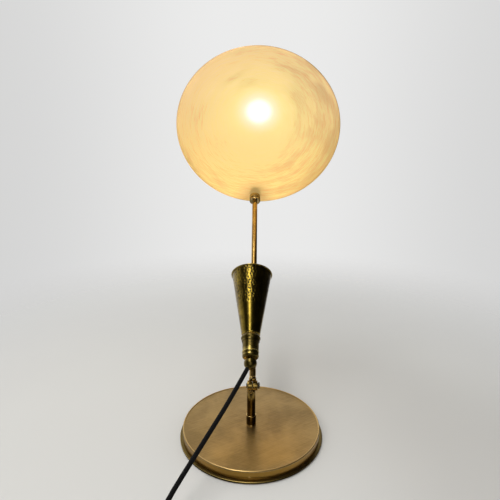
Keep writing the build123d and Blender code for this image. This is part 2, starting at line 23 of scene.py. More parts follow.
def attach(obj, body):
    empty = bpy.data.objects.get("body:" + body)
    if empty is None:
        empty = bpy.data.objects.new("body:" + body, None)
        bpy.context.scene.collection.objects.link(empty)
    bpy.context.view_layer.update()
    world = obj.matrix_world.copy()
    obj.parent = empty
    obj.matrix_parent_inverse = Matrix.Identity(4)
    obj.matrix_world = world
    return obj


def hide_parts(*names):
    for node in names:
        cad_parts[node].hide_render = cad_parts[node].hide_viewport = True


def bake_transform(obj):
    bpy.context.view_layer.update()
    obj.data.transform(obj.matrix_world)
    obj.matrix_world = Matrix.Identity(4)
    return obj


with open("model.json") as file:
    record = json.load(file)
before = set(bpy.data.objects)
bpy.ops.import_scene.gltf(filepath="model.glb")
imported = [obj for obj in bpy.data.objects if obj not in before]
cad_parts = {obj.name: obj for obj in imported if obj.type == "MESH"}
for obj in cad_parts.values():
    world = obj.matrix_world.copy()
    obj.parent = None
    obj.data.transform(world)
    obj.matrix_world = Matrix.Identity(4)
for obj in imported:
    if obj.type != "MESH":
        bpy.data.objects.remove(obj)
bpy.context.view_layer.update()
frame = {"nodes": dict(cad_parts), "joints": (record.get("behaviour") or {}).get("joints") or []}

logging.basicConfig(level=logging.INFO, format="%(message)s")
log = logging.getLogger("lamp")

MM = 0.001
TURN = 2 * math.pi
Point = tuple[float, float]
Points = list[Point]
Triple = tuple[float, float, float]
Solid = bpy.types.Object

# Where the lampholder stands beside the rod, and how the dish sits on its ball
LAMP_SIDE = -3.0
LAMP_OFFSET = 40.0
STUD_OFF = 31.7
DISH_ROLL = 2.4

# Radii of the threaded holes and of the spigots in them
THREAD_BORE = 5.05
PIN_BORE = 3.05


class Grain(Enum):
    """The way a metal surface was last worked."""

    TURNED = "rings about the piece's own axis"
    DRAWN = "lines along the piece's own axis"
    CROSSED = "short strokes laid over each other"


def tone(red: float, green: float, blue: float) -> tuple[float, float, float, float]:
    """A display colour as the linear colour that a shader takes."""
    linear = [((v / 255 + 0.055) / 1.055) ** 2.4 if v > 10 else v / 255 / 12.92 for v in (red, green, blue)]
    return (*linear, 1.0)


def deselect() -> None:
    """Leaves nothing selected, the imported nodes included."""
    if bpy.context.mode != "OBJECT":
        bpy.ops.object.mode_set(mode="OBJECT")
    bpy.ops.object.select_all(action="DESELECT")


def choose(piece: Solid) -> None:
    """Makes one piece the only selected and the active one."""
    deselect()
    piece.select_set(True)
    bpy.context.view_layer.objects.active = piece


def arc(centre: Point, radius: float, start: float, end: float, steps: int) -> Points:
    """Points of a round stretch of an outline.

    Args:
        centre: radius and height of the arc's centre.
        radius: the arc's own radius.
        start: first angle in degrees, 0 outwards and 90 up.
        end: last angle in degrees.
        steps: number of runs that the arc takes.

    Returns:
        The arc's points, both ends included.
    """
    angles = [math.radians(start + (end - start) * i / steps) for i in range(steps + 1)]
    return [(centre[0] + radius * math.cos(a), centre[1] + radius * math.sin(a)) for a in angles]


def between(start: float, end: float, steps: int) -> list[float]:
    """Evenly spaced numbers from a start up to, but without, an end."""
    return [start + (end - start) * i / steps for i in range(steps)]


def moved(x: float, y: float, z: float) -> Matrix:
    """A shift in millimetres."""
    return Matrix.Translation(Vector((x, y, z)) * MM)


@dataclass(frozen=True)
class Places:
    """The frames in which the sub-assemblies are drawn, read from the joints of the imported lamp."""

    pivot: Vector
    arm: Matrix
    pin: Matrix
    head: Matrix
    stud: Matrix

    @staticmethod
    def read() -> "Places":
        """Works the frames out from the joints."""
        joints = {joint["name"]: joint for joint in frame["joints"]}
        pivot = Vector(joints["knuckle_tilt"]["pos_m"])
        ball = Vector(joints["reflector_swivel"]["pos_m"])
        along = Vector(joints["reflector_swivel"]["axis"]).normalized()
        side = Vector((1.0, 0.0, 0.0))
        turn = Matrix((side, along.cross(side), along)).transposed().to_4x4()
        arm = Matrix.Translation(pivot) @ turn
        pin = Matrix.Translation(pivot) @ Matrix.Rotation(math.pi / 2, 4, "Y")
        stud = Matrix.Translation(ball) @ turn @ Matrix.Rotation(math.radians(-STUD_OFF), 4, "X")
        stud = stud @ Matrix.Rotation(math.radians(DISH_ROLL), 4, "Z")
        return Places(pivot, arm, pin, arm @ moved(LAMP_SIDE, -LAMP_OFFSET, 0), stud)


class Bench:
    """The turning and fitting operations that every sub-assembly uses."""

    @staticmethod
    def turn(name: str, outline: Points, place: Optional[Matrix] = None, segments: int = 96,
             closed: bool = True) -> Solid:
        """Turns an outline about its axis, as on a lathe.

        Args:
            name: the piece's name.
            outline: its (radius, height) corners.
            place: the frame whose Z is the piece's axis.
            segments: number of facets round the axis.
            closed: whether the last corner runs back to the first.

        Returns:
            The new piece, with its place in its mesh.
        """
        deselect()
        bpy.ops.mesh.primitive_plane_add(size=MM, location=(0, 0, 0))
        piece = bpy.context.active_object
        piece.name = piece.data.name = name
        corners = outline + [outline[0]] if closed else outline
        bpy.ops.object.mode_set(mode="EDIT")
        bpy.ops.mesh.select_all(action="SELECT")
        bpy.ops.mesh.merge(type="CENTER")
        bpy.ops.transform.translate(value=(corners[0][0] * MM, 0, corners[0][1] * MM))
        for before, after in zip(corners, corners[1:]):
            move = ((after[0] - before[0]) * MM, 0, (after[1] - before[1]) * MM)
            bpy.ops.mesh.extrude_region_move(TRANSFORM_OT_translate={"value": move})
        bpy.ops.mesh.select_all(action="SELECT")
        bpy.ops.mesh.spin(steps=segments, angle=TURN, center=(0, 0, 0), axis=(0, 0, 1))
        bpy.ops.mesh.select_all(action="SELECT")
        bpy.ops.mesh.remove_doubles(threshold=0.002 * MM)
        bpy.ops.mesh.normals_make_consistent(inside=False)
        bpy.ops.object.mode_set(mode="OBJECT")
        Bench.put(piece, place)
        return piece

    @staticmethod
    def put(piece: Solid, place: Optional[Matrix]) -> None:
        """Moves a piece into its frame and leaves the move in its mesh."""
        if place is not None:
            choose(piece)
            piece.matrix_world = place
            bpy.ops.object.transform_apply(location=True, rotation=True, scale=True)

    @staticmethod
    def block(name: str, low: Triple, high: Triple, place: Optional[Matrix] = None) -> Solid:
        """A block between two corners of a frame, in millimetres, still with sharp edges."""
        deselect()
        bpy.ops.mesh.primitive_cube_add(size=1)
        piece = bpy.context.active_object
        piece.name = piece.data.name = name
        bpy.ops.object.mode_set(mode="EDIT")
        bpy.ops.mesh.select_all(action="SELECT")
        size = [(b - a) * MM for a, b in zip(low, high)]
        bpy.ops.transform.resize(value=size, center_override=(0, 0, 0))
        bpy.ops.transform.translate(value=[(a + b) / 2 * MM for a, b in zip(low, high)])
        bpy.ops.object.mode_set(mode="OBJECT")
        Bench.put(piece, place)
        return piece

    @staticmethod
    def join(piece: Solid, others: Iterable[Solid], operation: str = "UNION") -> None:
        """Fuses other solids to a piece, or cuts it with them, and uses them up."""
        for other in others:
            choose(piece)
            step = piece.modifiers.new("fuse", "BOOLEAN")
            step.operation = operation
            step.solver = "EXACT"
            step.object = other
            bpy.ops.object.modifier_apply(modifier=step.name)
            bpy.data.objects.remove(other, do_unlink=True)

    @staticmethod
    def round_edges(piece: Solid, width: float, segments: int = 3, angle: float = 35) -> None:
        """Rounds the edges that are sharper than an angle in degrees, with a width in millimetres."""
        choose(piece)
        step = piece.modifiers.new("round", "BEVEL")
        step.width = width * MM
        step.segments = segments
        step.limit_method = "ANGLE"
        step.angle_limit = math.radians(angle)
        step.use_clamp_overlap = True
        bpy.ops.object.modifier_apply(modifier=step.name)

    @staticmethod
    def finish(piece: Solid, body: str, slot: str, coat: bpy.types.Material, node: str = "",
               edges: tuple = (), shade: float = 40, place: Optional[Matrix] = None) -> Solid:
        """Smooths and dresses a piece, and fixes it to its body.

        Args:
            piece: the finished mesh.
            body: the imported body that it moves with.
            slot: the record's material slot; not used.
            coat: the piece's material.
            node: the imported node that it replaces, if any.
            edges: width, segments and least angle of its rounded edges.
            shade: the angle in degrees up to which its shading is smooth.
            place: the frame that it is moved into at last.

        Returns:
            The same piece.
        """
        if edges:
            Bench.round_edges(piece, *edges)
        choose(piece)
        bpy.ops.object.shade_smooth_by_angle(angle=math.radians(shade))
        Bench.put(piece, place)
        piece.data.materials.clear()
        piece.data.materials.append(coat)
        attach(piece, body)
        if node:
            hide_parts(node)
        log.info("%s: %d faces, rides on %s", piece.name, len(piece.data.polygons), body)
        return piece


class Value:
    """What a node gives out, with plain arithmetic."""

    def __init__(self, board: "Board", socket: bpy.types.NodeSocket) -> None:
        """Keeps the output and its board."""
        self.board = board
        self.socket = socket

    def __add__(self, other: object) -> "Value":
        """The sum."""
        return self.board.math("ADD", self, other)

    def __sub__(self, other: object) -> "Value":
        """The difference."""
        return self.board.math("SUBTRACT", self, other)

    def __mul__(self, other: object) -> "Value":
        """The product."""
        return self.board.math("MULTIPLY", self, other)

    def __truediv__(self, other: object) -> "Value":
        """The quotient."""
        return self.board.math("DIVIDE", self, other)


class Board:
    """A node tree, with short ways to add to it."""

    def __init__(self, tree: bpy.types.NodeTree) -> None:
        """Takes over a tree and clears it."""
        self.tree = tree
        tree.nodes.clear()

    def feed(self, socket: bpy.types.NodeSocket, value: object) -> None:
        """Gives an input a number, a vector, a tone or what another node gives out."""
        source = getattr(value, "socket", value)
        if isinstance(source, bpy.types.NodeSocket):
            self.tree.links.new(source, socket)
        elif socket.type == "RGBA" and len(value) == 3:
            socket.default_value = tone(*value)
        else:
            socket.default_value = value

    def node(self, kind: str, inputs: Optional[dict] = None, **traits: object) -> bpy.types.Node:
        """Adds a node, sets its traits and feeds its inputs."""
        made = self.tree.nodes.new("ShaderNode" + kind)
        for key, value in traits.items():
            setattr(made, key, value)
        for key, value in (inputs or {}).items():
            self.feed(made.inputs[key], value)
        return made

    def read(self, kind: str, output: str, **traits: object) -> Value:
        """One output of a node without inputs."""
        return Value(self, self.node(kind, **traits).outputs[output])

    def math(self, operation: str, *values: object) -> Value:
        """One arithmetic step and its result."""
        return Value(self, self.node("Math", dict(enumerate(values)), operation=operation).outputs[0])

    def ramp(self, value: Value, low: float, high: float, start: float = 0.0, end: float = 1.0) -> Value:
        """A value stretched smoothly from one range to another."""
        made = self.node("MapRange", {"Value": value, "From Min": low, "From Max": high, "To Min": start,
                                      "To Max": end}, interpolation_type="SMOOTHSTEP")
        return Value(self, made.outputs["Result"])

    def axes(self, vector: Value) -> list[Value]:
        """The three parts of a vector."""
        return [Value(self, part) for part in self.node("SeparateXYZ", {0: vector}).outputs]

    def shaders(self, share: Value, first: bpy.types.Node, second: bpy.types.Node) -> bpy.types.Node:
        """Two shaders mixed by a share."""
        return self.node("MixShader", {0: share, 1: first.outputs[0], 2: second.outputs[0]})


class Coat(Board):
    """A material, with the patterns that the finishes are made of."""

    def __init__(self, name: str, place: Optional[Matrix] = None) -> None:
        """Starts a material whose pattern goes round the Z of a piece's frame."""
        self.material = bpy.data.materials.new(name)
        self.material.use_nodes = True
        super().__init__(self.material.node_tree)
        self.shader = self.node("BsdfPrincipled")
        self.out = self.node("OutputMaterial", {0: self.shader.outputs[0]})
        back = (place or Matrix.Identity(4)).inverted()
        centring = self.node("Mapping", {"Vector": self.read("TexCoord", "Object"),
                                         "Location": back.to_translation(), "Rotation": back.to_euler()})
        self.local = Value(self, centring.outputs[0])

    def stretched(self, scale: Triple, turn: float = 0.0, vector: Optional[Value] = None) -> Value:
        """The piece's coordinates, or others, turned about Z and then stretched for a pattern."""
        turned = self.node("Mapping", {"Vector": vector or self.local, "Rotation": (0, 0, turn)})
        made = self.node("VectorMath", {0: turned.outputs[0], 1: scale}, operation="MULTIPLY")
        return Value(self, made.outputs[0])

    def noise(self, vector: Value, scale: float, detail: float = 3.0, rough: float = 0.55,
              distortion: float = 0.0) -> Value:
        """A cloud pattern between 0 and 1."""
        made = self.node("TexNoise", {"Vector": vector, "Scale": scale, "Detail": detail,
                                      "Roughness": rough, "Distortion": distortion})
        return Value(self, made.outputs["Fac"])

    def mix(self, share: object, first: object, second: object) -> Value:
        """Two colours mixed by a share."""
        made = self.node("Mix", {"Factor": share, 6: first, 7: second}, data_type="RGBA")
        return Value(self, made.outputs[2])

    def radius(self, shift: Point = (0.0, 0.0)) -> Value:
        """The distance from the piece's axis, or from a line beside it, in metres."""
        x, y = (part - off for part, off in zip(self.axes(self.local), shift))
        return self.math("SQRT", x * x + y * y)

    def band(self, measure: Value, low: float, high: float, share: float) -> Value:
        """A share inside a band of a measure, 0 outside it, with limits in millimetres."""
        return self.math("COMPARE", measure, (low + high) / 2 * MM, (high - low) / 2 * MM) * share

    def rings(self, fine: float, long: float, shift: Point = (0.0, 0.0)) -> Value:
        """Coordinates in which a cloud pattern becomes rings about the piece's axis.

        Args:
            fine: how fast the pattern changes across the rings, per metre.
            long: how fast it changes round a ring.
            shift: where the rings' centre lies beside the axis, in metres.

        Returns:
            The coordinates, with no seam.
        """
        parts = self.axes(self.local)
        across = self.radius(shift)
        safe = self.math("MAXIMUM", across, 0.0004)
        around = [(part - off) / safe * long for part, off in zip(parts, shift)]
        made = self.node("CombineXYZ", dict(enumerate([*around, (parts[2] * 0.83 + across) * fine])))
        return Value(self, made.outputs[0])

    def bump(self, height: Value, strength: float, depth: float, under: Optional[Value] = None) -> Value:
        """A relief in millimetres on the surface, over another one."""
        made = self.node("Bump", {"Strength": strength, "Distance": depth * MM, "Height": height})
        if under:
            self.feed(made.inputs["Normal"], under)
        return Value(self, made.outputs[0])

    def surface(self, **inputs: object) -> bpy.types.Material:
        """Feeds the shader's inputs, whose names have underscores for blanks, and gives the material."""
        for name, value in inputs.items():
            self.feed(self.shader.inputs[name.replace("_", " ")], value)
        return self.material


class Finish:
    """A surface treatment, from which each piece gets a material of its own."""

    def layers(self, coat: Coat) -> dict[str, object]:
        """The shader's inputs by name."""
        raise NotImplementedError

    def make(self, name: str, place: Optional[Matrix] = None) -> bpy.types.Material:
        """The finish as a material.

        Args:
            name: the material's name.
            place: the piece's frame, whose Z the pattern goes round.

        Returns:
            The material.
        """
        coat = Coat(name, place)
        return coat.surface(**self.layers(coat))


@dataclass(frozen=True)
class AgedBrass(Finish):
    """Brass that was worked, darkened and rubbed back, with painted highlight bands and a painted shade band
    where they are given.
    """

    light: Triple = (190, 155, 100)
    dark: Triple = (120, 92, 55)
    # worn is the tone of rubbed edges and of the painted highlight bands.
    worn: Triple = (222, 192, 128)
    # deep is the tone of the painted shade band on a side wall.
    deep: Triple = (150, 112, 36)
    smoothest: float = 0.24
    roughest: float = 0.42
    grain: Grain = Grain.TURNED
    grain_depth: float = 0.02
    grain_share: float = 0.45
    patch_size: float = 0.03
    cloud_depth: float = 0.4
    wear: float = 0.6
    lacquer: float = 0.0
    # skirt is a band of height painted in the deep tone, painted shade on a side wall.
    skirt: Point = (0.0, 0.0)
    # Bands of height and of radius painted as highlights in the worn tone.
    painted_highlight_heights: tuple[Point, ...] = ()
    painted_highlight_radii: tuple[Point, ...] = ()

    def pattern(self, coat: Coat) -> Value:
        """The marks of the last tool, between 0 and 1."""
        if self.grain is Grain.TURNED:
            return coat.noise(coat.rings(2600.0, 1.6), 1.0, 4.0, 0.62)
        if self.grain is Grain.DRAWN:
            return coat.noise(coat.stretched((3200.0, 3200.0, 26.0)), 1.0, 3.0)
        one, two, three = (coat.noise(coat.stretched((28.0, 620.0, 300.0), turn), 1.0, 4.0, 0.6, 0.15)
                           for turn in (-0.55, 0.5, 0.12))
        return one * 0.5 + two * 0.3 + three * 0.2

    def layers(self, coat: Coat) -> dict[str, object]:
        """Grain, clouds and spots, the bright metal where edges are rubbed, and painted highlight bands."""
        marks = self.pattern(coat)
        clouds = coat.noise(coat.local, 1 / self.patch_size, 4.0, 0.6, 0.4)
        spots = coat.noise(coat.local, 7 / self.patch_size, 3.0, 0.7)
        level = marks * self.grain_share + clouds * (1 - self.grain_share)
        colour = coat.mix(coat.ramp(level, 0.36, 0.64), self.dark, self.light)
        colour = coat.mix(coat.ramp(spots, 0.55, 0.8, 0.0, 0.25), colour, self.dark)
        height = coat.axes(coat.local)[2]
        # Painted shade: a band of height, such as a side wall, darker and more saturated than the top.
        if any(self.skirt):
            colour = coat.mix(coat.band(height, *self.skirt, 0.8), colour, self.deep)
        # rubbed holds the real wear on sharp edges, read from pointiness, and the painted highlight bands
        # below.
        rubbed = coat.ramp(coat.read("NewGeometry", "Pointiness"), 0.515, 0.56, 0.0, self.wear)
        for measure, painted_highlight_bands in ((height, self.painted_highlight_heights), (coat.radius(), self.painted_highlight_radii)):
            for low, high in painted_highlight_bands:
                rubbed = coat.math("MAXIMUM", rubbed, coat.band(measure, low, high, self.wear))
        rough = coat.ramp(level, 0.3, 0.7, self.roughest, self.smoothest)
        return {"Base_Color": coat.mix(rubbed, colour, self.worn), "Metallic": 1.0,
                "Roughness": rough * (rubbed * -0.15 + 1.0),
                "Normal": coat.bump(clouds, 0.12, self.cloud_depth, coat.bump(marks, 0.35, self.grain_depth)),
                "Coat_Weight": self.lacquer, "Coat_Roughness": 0.12}


@dataclass(frozen=True)
class DullSteel(Finish):
    """Plated or blackened steel, with cloudy spots."""

    light: Triple = (160, 160, 158)
    dark: Triple = (110, 110, 108)
    roughness: float = 0.35

    def layers(self, coat: Coat) -> dict[str, object]:
        """Fine rings under clouds."""
        rings = coat.noise(coat.rings(2200.0, 2.0), 1.0, 3.0)
        clouds = coat.noise(coat.local, 350.0, 4.0, 0.6)
        return {"Base_Color": coat.mix(coat.ramp(clouds, 0.3, 0.7), self.dark, self.light), "Metallic": 1.0,
                "Roughness": coat.ramp(rings, 0.3, 0.7, self.roughness * 0.75, self.roughness * 1.3),
                "Normal": coat.bump(clouds, 0.25, 0.03, coat.bump(rings, 0.2, 0.02))}


@dataclass(frozen=True)
class Plain(Finish):
    """A moulded or cast material with a fine skin."""

    light: Triple
    dark: Triple
    roughness: float = 0.5
    pebble: float = 1800.0
    relief: float = 0.04
    shine: float = 0.5

    def layers(self, coat: Coat) -> dict[str, object]:
        """A pebbled skin over faint clouds."""
        skin = coat.noise(coat.local, self.pebble, 3.0, 0.6)
        clouds = coat.noise(coat.local, 60.0, 3.0)
        return {"Base_Color": coat.mix(coat.ramp(clouds, 0.3, 0.7), self.dark, self.light),
                "Roughness": coat.ramp(skin, 0.3, 0.7, self.roughness * 0.85, self.roughness * 1.15),
                "Specular_IOR_Level": self.shine, "Normal": coat.bump(skin, 0.5, self.relief)}


@dataclass(frozen=True)
class Felt(Finish):
    """Pressed or woven fibres."""

    light: Triple = (52, 60, 48)
    dark: Triple = (30, 36, 28)

    def layers(self, coat: Coat) -> dict[str, object]:
        """Fibres with lumps under them."""
        fibres = coat.noise(coat.stretched((1.0, 1.0, 0.4)), 900.0, 6.0, 0.75, 1.2)
        lumps = coat.noise(coat.local, 120.0, 3.0)
        colour = coat.mix(coat.ramp(fibres, 0.3, 0.7), self.dark, self.light)
        return {"Base_Color": coat.mix(coat.ramp(lumps, 0.4, 0.7, 0.0, 0.35), colour, self.dark),
                "Roughness": 0.95, "Sheen_Weight": 0.3, "Sheen_Roughness": 0.6,
                "Normal": coat.bump(fibres, 0.8, 0.3)}


@dataclass(frozen=True)
class Braid(Finish):
    """The textile sleeve of the lead, whose strands cross on a map of metres along and turns round."""

    light: Triple = (13, 12, 12)
    dark: Triple = (2, 2, 3)
    lay: float = 0.0115
    carriers: int = 8

    def layers(self, coat: Coat) -> dict[str, object]:
        """Strands both ways round, with their yarn."""
        sheet = coat.read("TexCoord", "UV")
        along, around, _ = coat.axes(sheet)
        along = along * (TURN / self.lay) * 2.0
        around = around * (TURN * self.carriers)
        over = coat.math("MAXIMUM", coat.math("SINE", along + around), coat.math("SINE", along - around))
        yarn = coat.noise(coat.stretched((2600.0, 60.0, 1.0), 0.0, sheet), 1.0, 3.0)
        height = yarn * 0.35 + over
        return {"Base_Color": coat.mix(coat.ramp(height, 0.1, 1.25), self.dark, self.light),
                "Roughness": coat.ramp(yarn, 0.3, 0.7, 0.75, 0.95), "Sheen_Weight": 0.02,
                "Sheen_Roughness": 0.5, "Specular_IOR_Level": 0.2, "Normal": coat.bump(height, 0.7, 0.35)}


@dataclass(frozen=True)
class LitGlass(Finish):
    """A reflector bulb's glass: a silvered flank up to a height, and a frosted, glowing front."""

    flank_end: float

    def layers(self, coat: Coat) -> dict[str, object]:
        """Silver and frost, split at the flank's end."""
        height = coat.axes(coat.local)[2]
        front = coat.ramp(height, (self.flank_end - 0.6) * MM, (self.flank_end + 0.6) * MM)
        frost = coat.noise(coat.local, 2500.0, 3.0)
        silver = coat.mix(coat.ramp(frost, 0.3, 0.7), (196, 196, 194), (222, 222, 220))
        return {"Base_Color": coat.mix(front, silver, (244, 240, 232)), "Metallic": front * -1.0 + 1.0,
                "Roughness": front * 0.35 + 0.12, "Emission_Color": (255, 244, 226),
                "Emission_Strength": front * 32.0, "Normal": coat.bump(frost, 0.2, 0.03)}


@dataclass(frozen=True)
class DishGold(Finish):
    """The dish's brushed mirror face, gold with rubbed patches, with the lamp's light on it as a painted glow
    and the bulb as a painted reflection.
    """

    facing: Vector
    light: Triple = (250, 224, 168)
    dark: Triple = (234, 196, 134)
    patch: Triple = (190, 150, 94)
    bead: Triple = (140, 106, 56)
    # Tones and powers of painted light: the painted glow of the lamp on the mirror face, and the painted
    # reflection of the bulb as a white hot spot above its middle.
    painted_warm_glow: Triple = (255, 243, 158)
    white: Triple = (255, 250, 240)
    # The olive tone of the painted shade beside the rings.
    painted_shade_olive: Triple = (196, 168, 84)
    painted_high_glow: Triple = (255, 214, 160)
    painted_low_glow: Triple = (255, 214, 122)
    lit: float = 0.56
    spot: float = 0.9
    painted_spot_radius: float = 0.022
    painted_spot_up: float = 0.027

    def layers(self, coat: Coat) -> dict[str, object]:
        """Scratches and patches, and the painted glow of the lamp's light on them."""
        scratches = ((760.0, 2.2, (0.0, 0.0)), (1150.0, 3.6, (0.03, 0.01)), (900.0, 2.8, (-0.026, 0.02)))
        one, two, three = (coat.noise(coat.rings(*scratch), 1.0, 5.0, 0.66) for scratch in scratches)
        marks = (one + two + three) * (1 / 3)
        x, y, _ = coat.axes(coat.local)
        outer = coat.ramp(coat.radius(), 0.03, 0.14, 0.12, 1.0)
        clouds = coat.noise(coat.rings(34.0, 1.1, (0.008, -0.004)), 1.0, 4.0, 0.6)
        dull_side = coat.ramp(x, -0.04, 0.15, -0.06, 0.14)
        patches = coat.ramp(clouds + dull_side, 0.46, 0.72) * outer
        level = (marks - 0.5) * outer + 0.5
        colour = coat.mix(coat.ramp(level, 0.4, 0.58), self.dark, self.light)
        colour = coat.mix(patches * 0.35, colour, self.patch)
        colour = coat.mix(coat.ramp(coat.radius(), 0.1482, 0.1492, 0.0, 0.75), colour, self.bead)
        glow, power = self.painted_lamp_light(coat, level, patches, coat.ramp(y, -0.12, 0.12))
        return {"Base_Color": colour, "Metallic": 1.0, "Roughness": coat.ramp(marks, 0.35, 0.7, 0.66, 0.54),
                "Normal": coat.bump(marks, 0.3, 0.05), "Emission_Color": glow, "Emission_Strength": power}

    def painted_lamp_light(self, coat: Coat, level: Value, patches: Value, rise: Value) -> tuple[Value, Value]:
        """The tone and the power of the painted glow of the lamp's light on the mirror face, with the bulb's
        painted reflection as a hot spot.

        Args:
            coat: the material.
            level: the scratches, about 0.5.
            patches: how dull the metal is.
            rise: 0 low on the dish and 1 high on it.

        Returns:
            The tone and the power.
        """
        away = coat.radius((0.0, self.painted_spot_up))
        radius = self.painted_spot_radius
        # The painted reflection of the bulb: a hot spot, whiter in its middle, with a faint halo.
        painted_hot_spot = coat.ramp(away, radius * 0.2, radius * 1.4, 1.0, 0.0)
        painted_spot_whitening = coat.ramp(away, radius * 0.7, radius * 2.3, 1.0, 0.0)
        painted_halo = coat.ramp(away, radius, radius * 3.0, 0.06, 0.0)
        # Painted shade beside the rings of the ball joint: the glow turns olive and dimmer there.
        painted_ring_shade = coat.ramp(coat.radius((0.0, -0.148)), 0.008, 0.05, 1.0, 0.0)
        # The painted glow of the lamp's light, its tone changing from low to high on the dish and warmer
        # toward the hot spot.
        glow = coat.mix(rise, self.painted_low_glow, self.painted_high_glow)
        glow = coat.mix(coat.ramp(away, 0.0, 0.16, 1.0, 0.0), glow, self.painted_warm_glow)
        glow = coat.mix(painted_ring_shade, coat.mix(painted_spot_whitening, glow, self.white), self.painted_shade_olive)
        texture = coat.ramp(level, 0.4, 0.6, 0.92, 1.06) * (patches * -0.34 + 1.0)
        texture = texture * (rise * 0.14 + 0.96) * (painted_ring_shade * -0.6 + 1.0)
        shape = coat.node("VectorMath", {0: coat.read("NewGeometry", "True Normal"), 1: self.facing},
                          operation="DOT_PRODUCT")
        mirror = coat.ramp(Value(coat, shape.outputs["Value"]), 0.2, 0.6)
        return glow, (painted_hot_spot * self.spot + texture * self.lit + painted_halo) * mirror


class Studio:
    """Camera, floor, backdrop and lights."""

    def camera(self) -> None:
        """The photograph's viewpoint, for a square picture."""
        data = bpy.data.cameras.new("view")
        data.lens = 36.0
        data.sensor_width = 36.0
        eye = bpy.data.objects.new("view", data)
        bpy.context.scene.collection.objects.link(eye)
        eye.location = (0.011, -0.665, 0.503)
        eye.rotation_euler = (math.radians(90 - 17), 0, math.radians(1.1))
        bpy.context.scene.camera = eye

    def floor(self) -> None:
        """A pale floor that fades into the backdrop, with painted shade toward its front right, and a dark
        card that only mirrors see.
        """
        deselect()
        bpy.ops.mesh.primitive_circle_add(vertices=96, radius=4.0, fill_type="NGON")
        floor = bpy.context.active_object
        floor.name = "floor"
        coat = Coat("pale_floor")
        x, y, _ = coat.axes(coat.local)
        colour = coat.mix(coat.noise(coat.local, 3.0, 2.0), (207, 206, 202), (212, 211, 207))
        # Painted shade: the floor darker toward the right and the front.
        corner = coat.ramp(x, 0.08, 0.3) * coat.ramp(y, 0.25, -0.05)
        colour = coat.mix(corner * 0.3, colour, (172, 168, 163))
        card = coat.math("MAXIMUM", coat.ramp(y, -0.125, -0.2), coat.ramp(x, 0.2, 0.4))
        card = card * coat.read("LightPath", "Is Glossy Ray") * 0.9
        coat.surface(Base_Color=coat.mix(card, colour, (40, 38, 36)), Roughness=0.85, Specular_IOR_Level=0.2)
        far = coat.ramp(coat.radius(), 0.35, 1.0)
        faded = coat.shaders(far, coat.shader, coat.node("BsdfTransparent"))
        coat.feed(coat.out.inputs[0], faded.outputs[0])
        floor.data.materials.append(coat.material)

    def sky(self) -> None:
        """White for the eye, with a painted pool of light in its middle, bright behind the lamp for its
        metal, plain for the light that it gives.
        """
        world = bpy.data.worlds.new("studio")
        bpy.context.scene.world = world
        world.use_nodes = True
        board = Board(world.node_tree)
        ramp = board.ramp
        x, y, z = board.axes(board.read("TexCoord", "Generated"))
        beside = board.math("ABSOLUTE", x)
        behind = ramp(y, 0.05, 0.6, 0.06, 1.0) * ramp(z, 0.45, 0.8, 1.0, 0.12)
        behind = behind * ramp(x, 0.25, 0.65, 1.0, 0.02)
        left = ramp(x, -0.93, -0.84, 0.4, 0.0) * ramp(z, 0.3, 0.7, 1.0, 0.0)
        ahead = ramp(y, -0.9, -0.6, 1.8, 0.0) * ramp(z, 0.05, 0.25) * ramp(beside, 0.08, 0.42, 1.0, 0.0)
        above = ramp(z, 0.76, 0.9, 0.0, 1.1) * ramp(x, -0.6, -0.4) * ramp(x, -0.1, 0.12, 1.0, 0.0)
        shine = behind + left + ahead + above
        # The backdrop for the eye, with a painted pool of light: brighter in the middle than to the sides.
        white = ramp(z, -0.5, 0.5, 0.66, 0.68) * ramp(beside, 0.05, 0.5, 1.24, 1.0)

        def lit(colour: object) -> bpy.types.Node:
            """A background of one colour, or of its three parts."""
            if isinstance(colour, list):
                colour = board.node("CombineColor", dict(enumerate(colour))).outputs[0]
            return board.node("Background", {"Color": colour})

        glossy = board.read("LightPath", "Is Glossy Ray")
        given = board.shaders(glossy, lit((0.5, 0.5, 0.498, 1)), lit([shine] * 3))
        seen = board.math("MAXIMUM", board.read("LightPath", "Is Camera Ray"),
                          board.read("LightPath", "Is Transmission Ray"))
        shown = board.shaders(seen, given, lit([white, white, white * 0.995]))
        board.node("OutputWorld", {0: shown.outputs[0]})

    def lamps(self) -> None:
        """A long soft light above, and a large one at the front left that metal doesn't mirror."""
        for name, size, spot, look, power, mirrored in (
                ("strip", (0.3, 1.7), (-0.32, -0.1, 1.5), None, 11.0, True),
                ("window", (1.1, 1.1), (-1.1, -1.0, 1.5), (0.0, 0.1, 0.15), 9.0, False)):
            data = bpy.data.lights.new(name, "AREA")
            data.shape = "RECTANGLE"
            data.size, data.size_y = size
            data.energy = power
            lamp = bpy.data.objects.new(name, data)
            bpy.context.scene.collection.objects.link(lamp)
            lamp.location = spot
            lamp.visible_glossy = mirrored
            if look:
                lamp.rotation_euler = (Vector(look) - Vector(spot)).to_track_quat("-Z", "Y").to_euler()

    def build(self) -> None:
        """Everything of the studio but the camera."""
        self.floor()
        self.sky()
        self.lamps()
        bpy.context.scene.view_settings.view_transform = "Standard"


